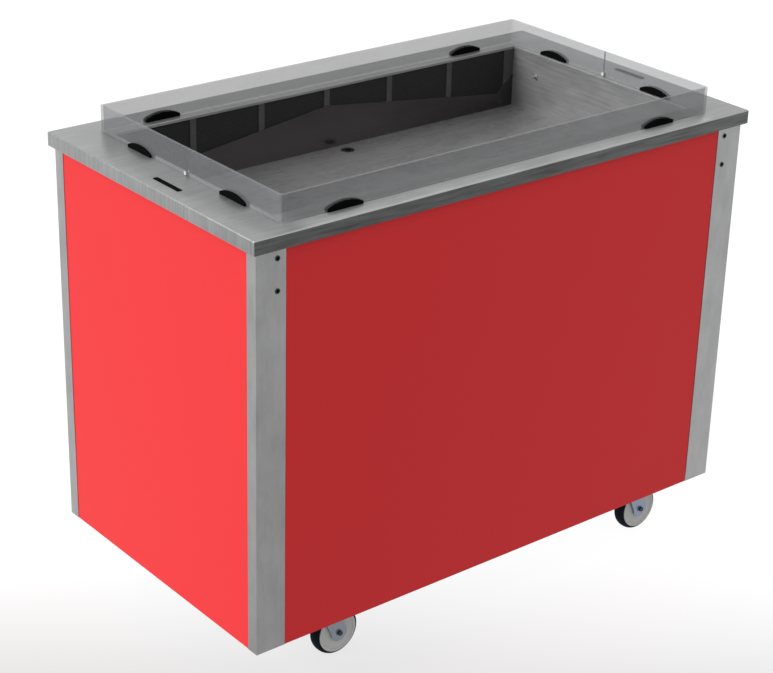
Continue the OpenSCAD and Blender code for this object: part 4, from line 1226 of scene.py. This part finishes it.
@dataclass
class Castors(Assembly):
    """The four castors."""

    wheel_r: float = 50.0 * MM
    tyre_t: float = 11.0 * MM
    rim: float = 42.5 * MM
    half: float = 15.0 * MM
    tread: float = 13.0 * MM
    groove: float = 1.0 * MM
    bore: float = 4.06 * MM
    leg_out: float = 19.0 * MM

    def build(self) -> None:
        """Builds each castor's pieces, and the brakes."""
        self.refine("castor_plates", CABINET, Finish.ZINC, "zinc_plate", 0.4 * MM)
        self.refine("castor_bolts", CABINET, Finish.ZINC, "zinc_plate", 0.6 * MM)
        for corner in CASTORS:
            low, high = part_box(f"tyre_{corner}")
            centre = (low + high) / 2
            self.refine(f"fork_{corner}", f"swivel_{corner}", Finish.ZINC, "zinc_plate", 0.7 * MM, 3)
            self.axle(corner, centre)
            self.wheel(corner, centre)
            self.tyre(corner, centre)
        for side in ("left", "right"):
            self.refine(f"brake_pedal_{side}", f"brake_{side}", Finish.BLACK, "black_moulding", 0.8 * MM, 3)

    def tyre(self, corner: str, centre: Vector) -> None:
        """Builds a crowned tyre with two fine grooves."""
        foot = self.rim + 0.8 * MM
        rise, grooves = self.wheel_r - foot, (0.3, 0.36)

        def crown(share: float) -> float:
            """The tyre's radius at a share of its half width."""
            return foot + rise * math.sqrt(1 - share ** 2.4)

        shares = (0.0, 0.15, grooves[0], grooves[1], 0.5, 0.62, 0.74, 0.84, 0.91, 0.96, 0.99, 1.0)
        half = []
        for share in shares:
            half.append((crown(share), share * self.tread))
            if share == grooves[0]:
                middle = sum(grooves) / 2
                half.append((crown(middle) - self.groove, middle * self.tread))
        inner = self.wheel_r - self.tyre_t
        upper = [(radius, -place) for radius, place in reversed(half[1:])]
        outline = [(inner, -self.tread), *upper, *half, (inner, self.tread)]
        piece = Bench.turned(f"tyre_{corner}_tread", outline, centre, Axis.Y, 72)
        Bench.soften(piece, 0, angle=35)
        self.hang(piece, f"roller_{corner}", Finish.TREAD, "tyre_rubber", f"tyre_{corner}")

    def wheel(self, corner: str, centre: Vector) -> None:
        """Builds a wheel with a raised rim and hub and a recessed web."""
        rim, core, h = self.rim, self.wheel_r - self.tyre_t, self.half
        hub, boss = 12 * MM, 1 * MM
        face = [(self.bore, h + boss - 0.3 * MM), (self.bore + 0.3 * MM, h + boss), (hub - 0.6 * MM, h + boss),
                (hub, h + boss - 0.6 * MM), (hub + 0.6 * MM, h - 1.6 * MM), (hub + 2.2 * MM, h - 2.2 * MM),
                (rim - 7.5 * MM, h - 2.2 * MM), (rim - 6 * MM, h - 1.4 * MM), (rim - 5.4 * MM, h - 0.3 * MM),
                (rim - 4.8 * MM, h), (rim - 1.2 * MM, h), (rim, h - 1.1 * MM), (rim, h - 2 * MM),
                (core, h - 2 * MM)]
        outline = face + [(radius, -place) for radius, place in reversed(face)]
        piece = Bench.turned(f"wheel_{corner}_disc", outline, centre, Axis.Y, 72)
        Bench.soften(piece, 0, angle=28)
        self.hang(piece, f"roller_{corner}", Finish.NYLON, "grey_nylon", f"wheel_{corner}")

    def axle(self, corner: str, centre: Vector) -> None:
        """Builds an axle bolt with its washers and its nut; the head is on the outer side."""
        side = -1 if corner.startswith("front") else 1
        x, y, z = centre
        out, washer, far = self.leg_out, 1 * MM, 7 * MM
        ring = [(self.bore, 0), (7 * MM, 0), (7 * MM, washer - 0.2 * MM), (6.8 * MM, washer),
                (self.bore, washer)]
        places = (y + out, y - out - washer)
        washers = [Bench.turned("washer", ring, (x, place, z), Axis.Y, 32) for place in places]
        head_y, nut_y = y + side * (out + washer), y - side * (out + washer)
        head = Bench.rod("head", (x, head_y, z), Axis.Y, side * 3.6 * MM, 5.6 * MM, 6)
        nut = Bench.rod("nut", (x, nut_y, z), Axis.Y, -side * 5 * MM, 6.6 * MM, 6)
        shank = Bench.rod("shank", (x, head_y, z), Axis.Y, nut_y - head_y - side * far, 4 * MM)
        if Bench.pick_faces(head, lambda at, way: way.y * side > ALONG):
            bpy.ops.mesh.inset(thickness=1.2 * MM, depth=0)
            bpy.ops.mesh.inset(thickness=0.6 * MM, depth=-0.5 * MM)
        Bench.close()
        for part in (head, nut, shank, *washers):
            Bench.soften(part, 0.5 * MM if part in (head, nut) else 0.2 * MM)
            part.data.materials.append((Finish.ZINC if part in washers else Finish.BOLT).material)
        piece = Bench.join([head, nut, shank, *washers], f"axle_{corner}_bolt")
        self.hang(piece, f"swivel_{corner}", Finish.BOLT, "zinc_plate", f"axle_{corner}")


# ---- Studio ----


@dataclass
class Studio:
    """Camera, lamp, world and floor.

    The floor shines by glow, and where it is seen by near_glow as well. That grows by far_glow between
    fade_from, measured from the origin away from the camera, and the origin.
    """

    azimuth: float = -39.262
    elevation: float = 24.754
    roll: float = 1.526
    lens: float = 95.797
    sensor: float = 36.0
    farthest: float = 200.0
    eye: Point = (-2.4145, -2.9067, 2.2021)
    ambient: float = 0.7
    sun: float = 2.75
    sun_way: Point = (-0.86, 0.22, 0.46)
    sun_spread: float = 24.0
    floor_size: float = 60.0
    glow: float = 0.34
    near_glow: float = 0.28
    far_glow: float = 0.33
    fade_from: float = -0.79

    def camera(self) -> None:
        """Sets the camera that sees the object as the picture does."""
        turn, tilt, lean = (math.radians(a) for a in (self.azimuth, self.elevation, self.roll))
        ahead = Vector((-math.sin(turn) * math.cos(tilt), math.cos(turn) * math.cos(tilt), -math.sin(tilt)))
        right = Vector((math.cos(turn), math.sin(turn), 0.0))
        up = right.cross(ahead)
        side = right * math.cos(lean) + up * math.sin(lean)
        top = up * math.cos(lean) - right * math.sin(lean)
        data = bpy.data.cameras.new("camera")
        data.lens = self.lens
        data.sensor_width = self.sensor
        data.sensor_fit = "HORIZONTAL"
        data.clip_end = self.farthest
        eye = bpy.data.objects.new("camera", data)
        bpy.context.scene.collection.objects.link(eye)
        eye.matrix_world = Matrix.Translation(self.eye) @ Matrix((side, top, -ahead)).transposed().to_4x4()
        bpy.context.scene.camera = eye

    def light(self) -> None:
        """Sets the world and the key light."""
        world = bpy.data.worlds.new("world")
        bpy.context.scene.world = world
        g = Graph(world, "Background")
        g.done(color=(1, 1, 1), strength=g.seen() * (1 - self.ambient) + self.ambient)
        lamp = bpy.data.lights.new("key", "SUN")
        lamp.energy = self.sun
        lamp.angle = math.radians(self.sun_spread)
        key = bpy.data.objects.new("key", lamp)
        key.rotation_euler = Vector(self.sun_way).to_track_quat("Z", "Y").to_euler()
        bpy.context.scene.collection.objects.link(key)

    def floor(self) -> None:
        """Lays the pale floor, which fades a little towards the camera."""
        bpy.ops.mesh.primitive_plane_add(size=self.floor_size)
        floor = Bench.made("floor")
        paint = bpy.data.materials.new("floor_paint")
        g = Graph(paint)
        turn = math.radians(self.azimuth)
        ahead = g.along(Axis.X) * -math.sin(turn) + g.along(Axis.Y) * math.cos(turn)
        glow = g.seen() * (ahead.rise(self.fade_from, 0.0) * self.far_glow + self.near_glow) + self.glow
        g.done(
            base_color=(0.12, 0.12, 0.12), roughness=0.9, specular_ior_level=0.0,
            emission_color=glow, emission_strength=1.0,
        )
        floor.data.materials.append(paint)

    def build(self) -> None:
        """Builds the studio."""
        bpy.context.scene.view_settings.view_transform = "Standard"
        self.camera()
        self.light()
        self.floor()


def main() -> None:
    """Builds the scene."""
    logging.basicConfig(level=logging.INFO, format="%(name)s: %(message)s")
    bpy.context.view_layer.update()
    for part in (Studio(), Worktop(), Guard(), Well(), Body(), Door(), Cooling(), Controls(), Castors()):
        part.build()
        log.info("built %s", type(part).__name__)


if __name__ == "__main__":
    main()
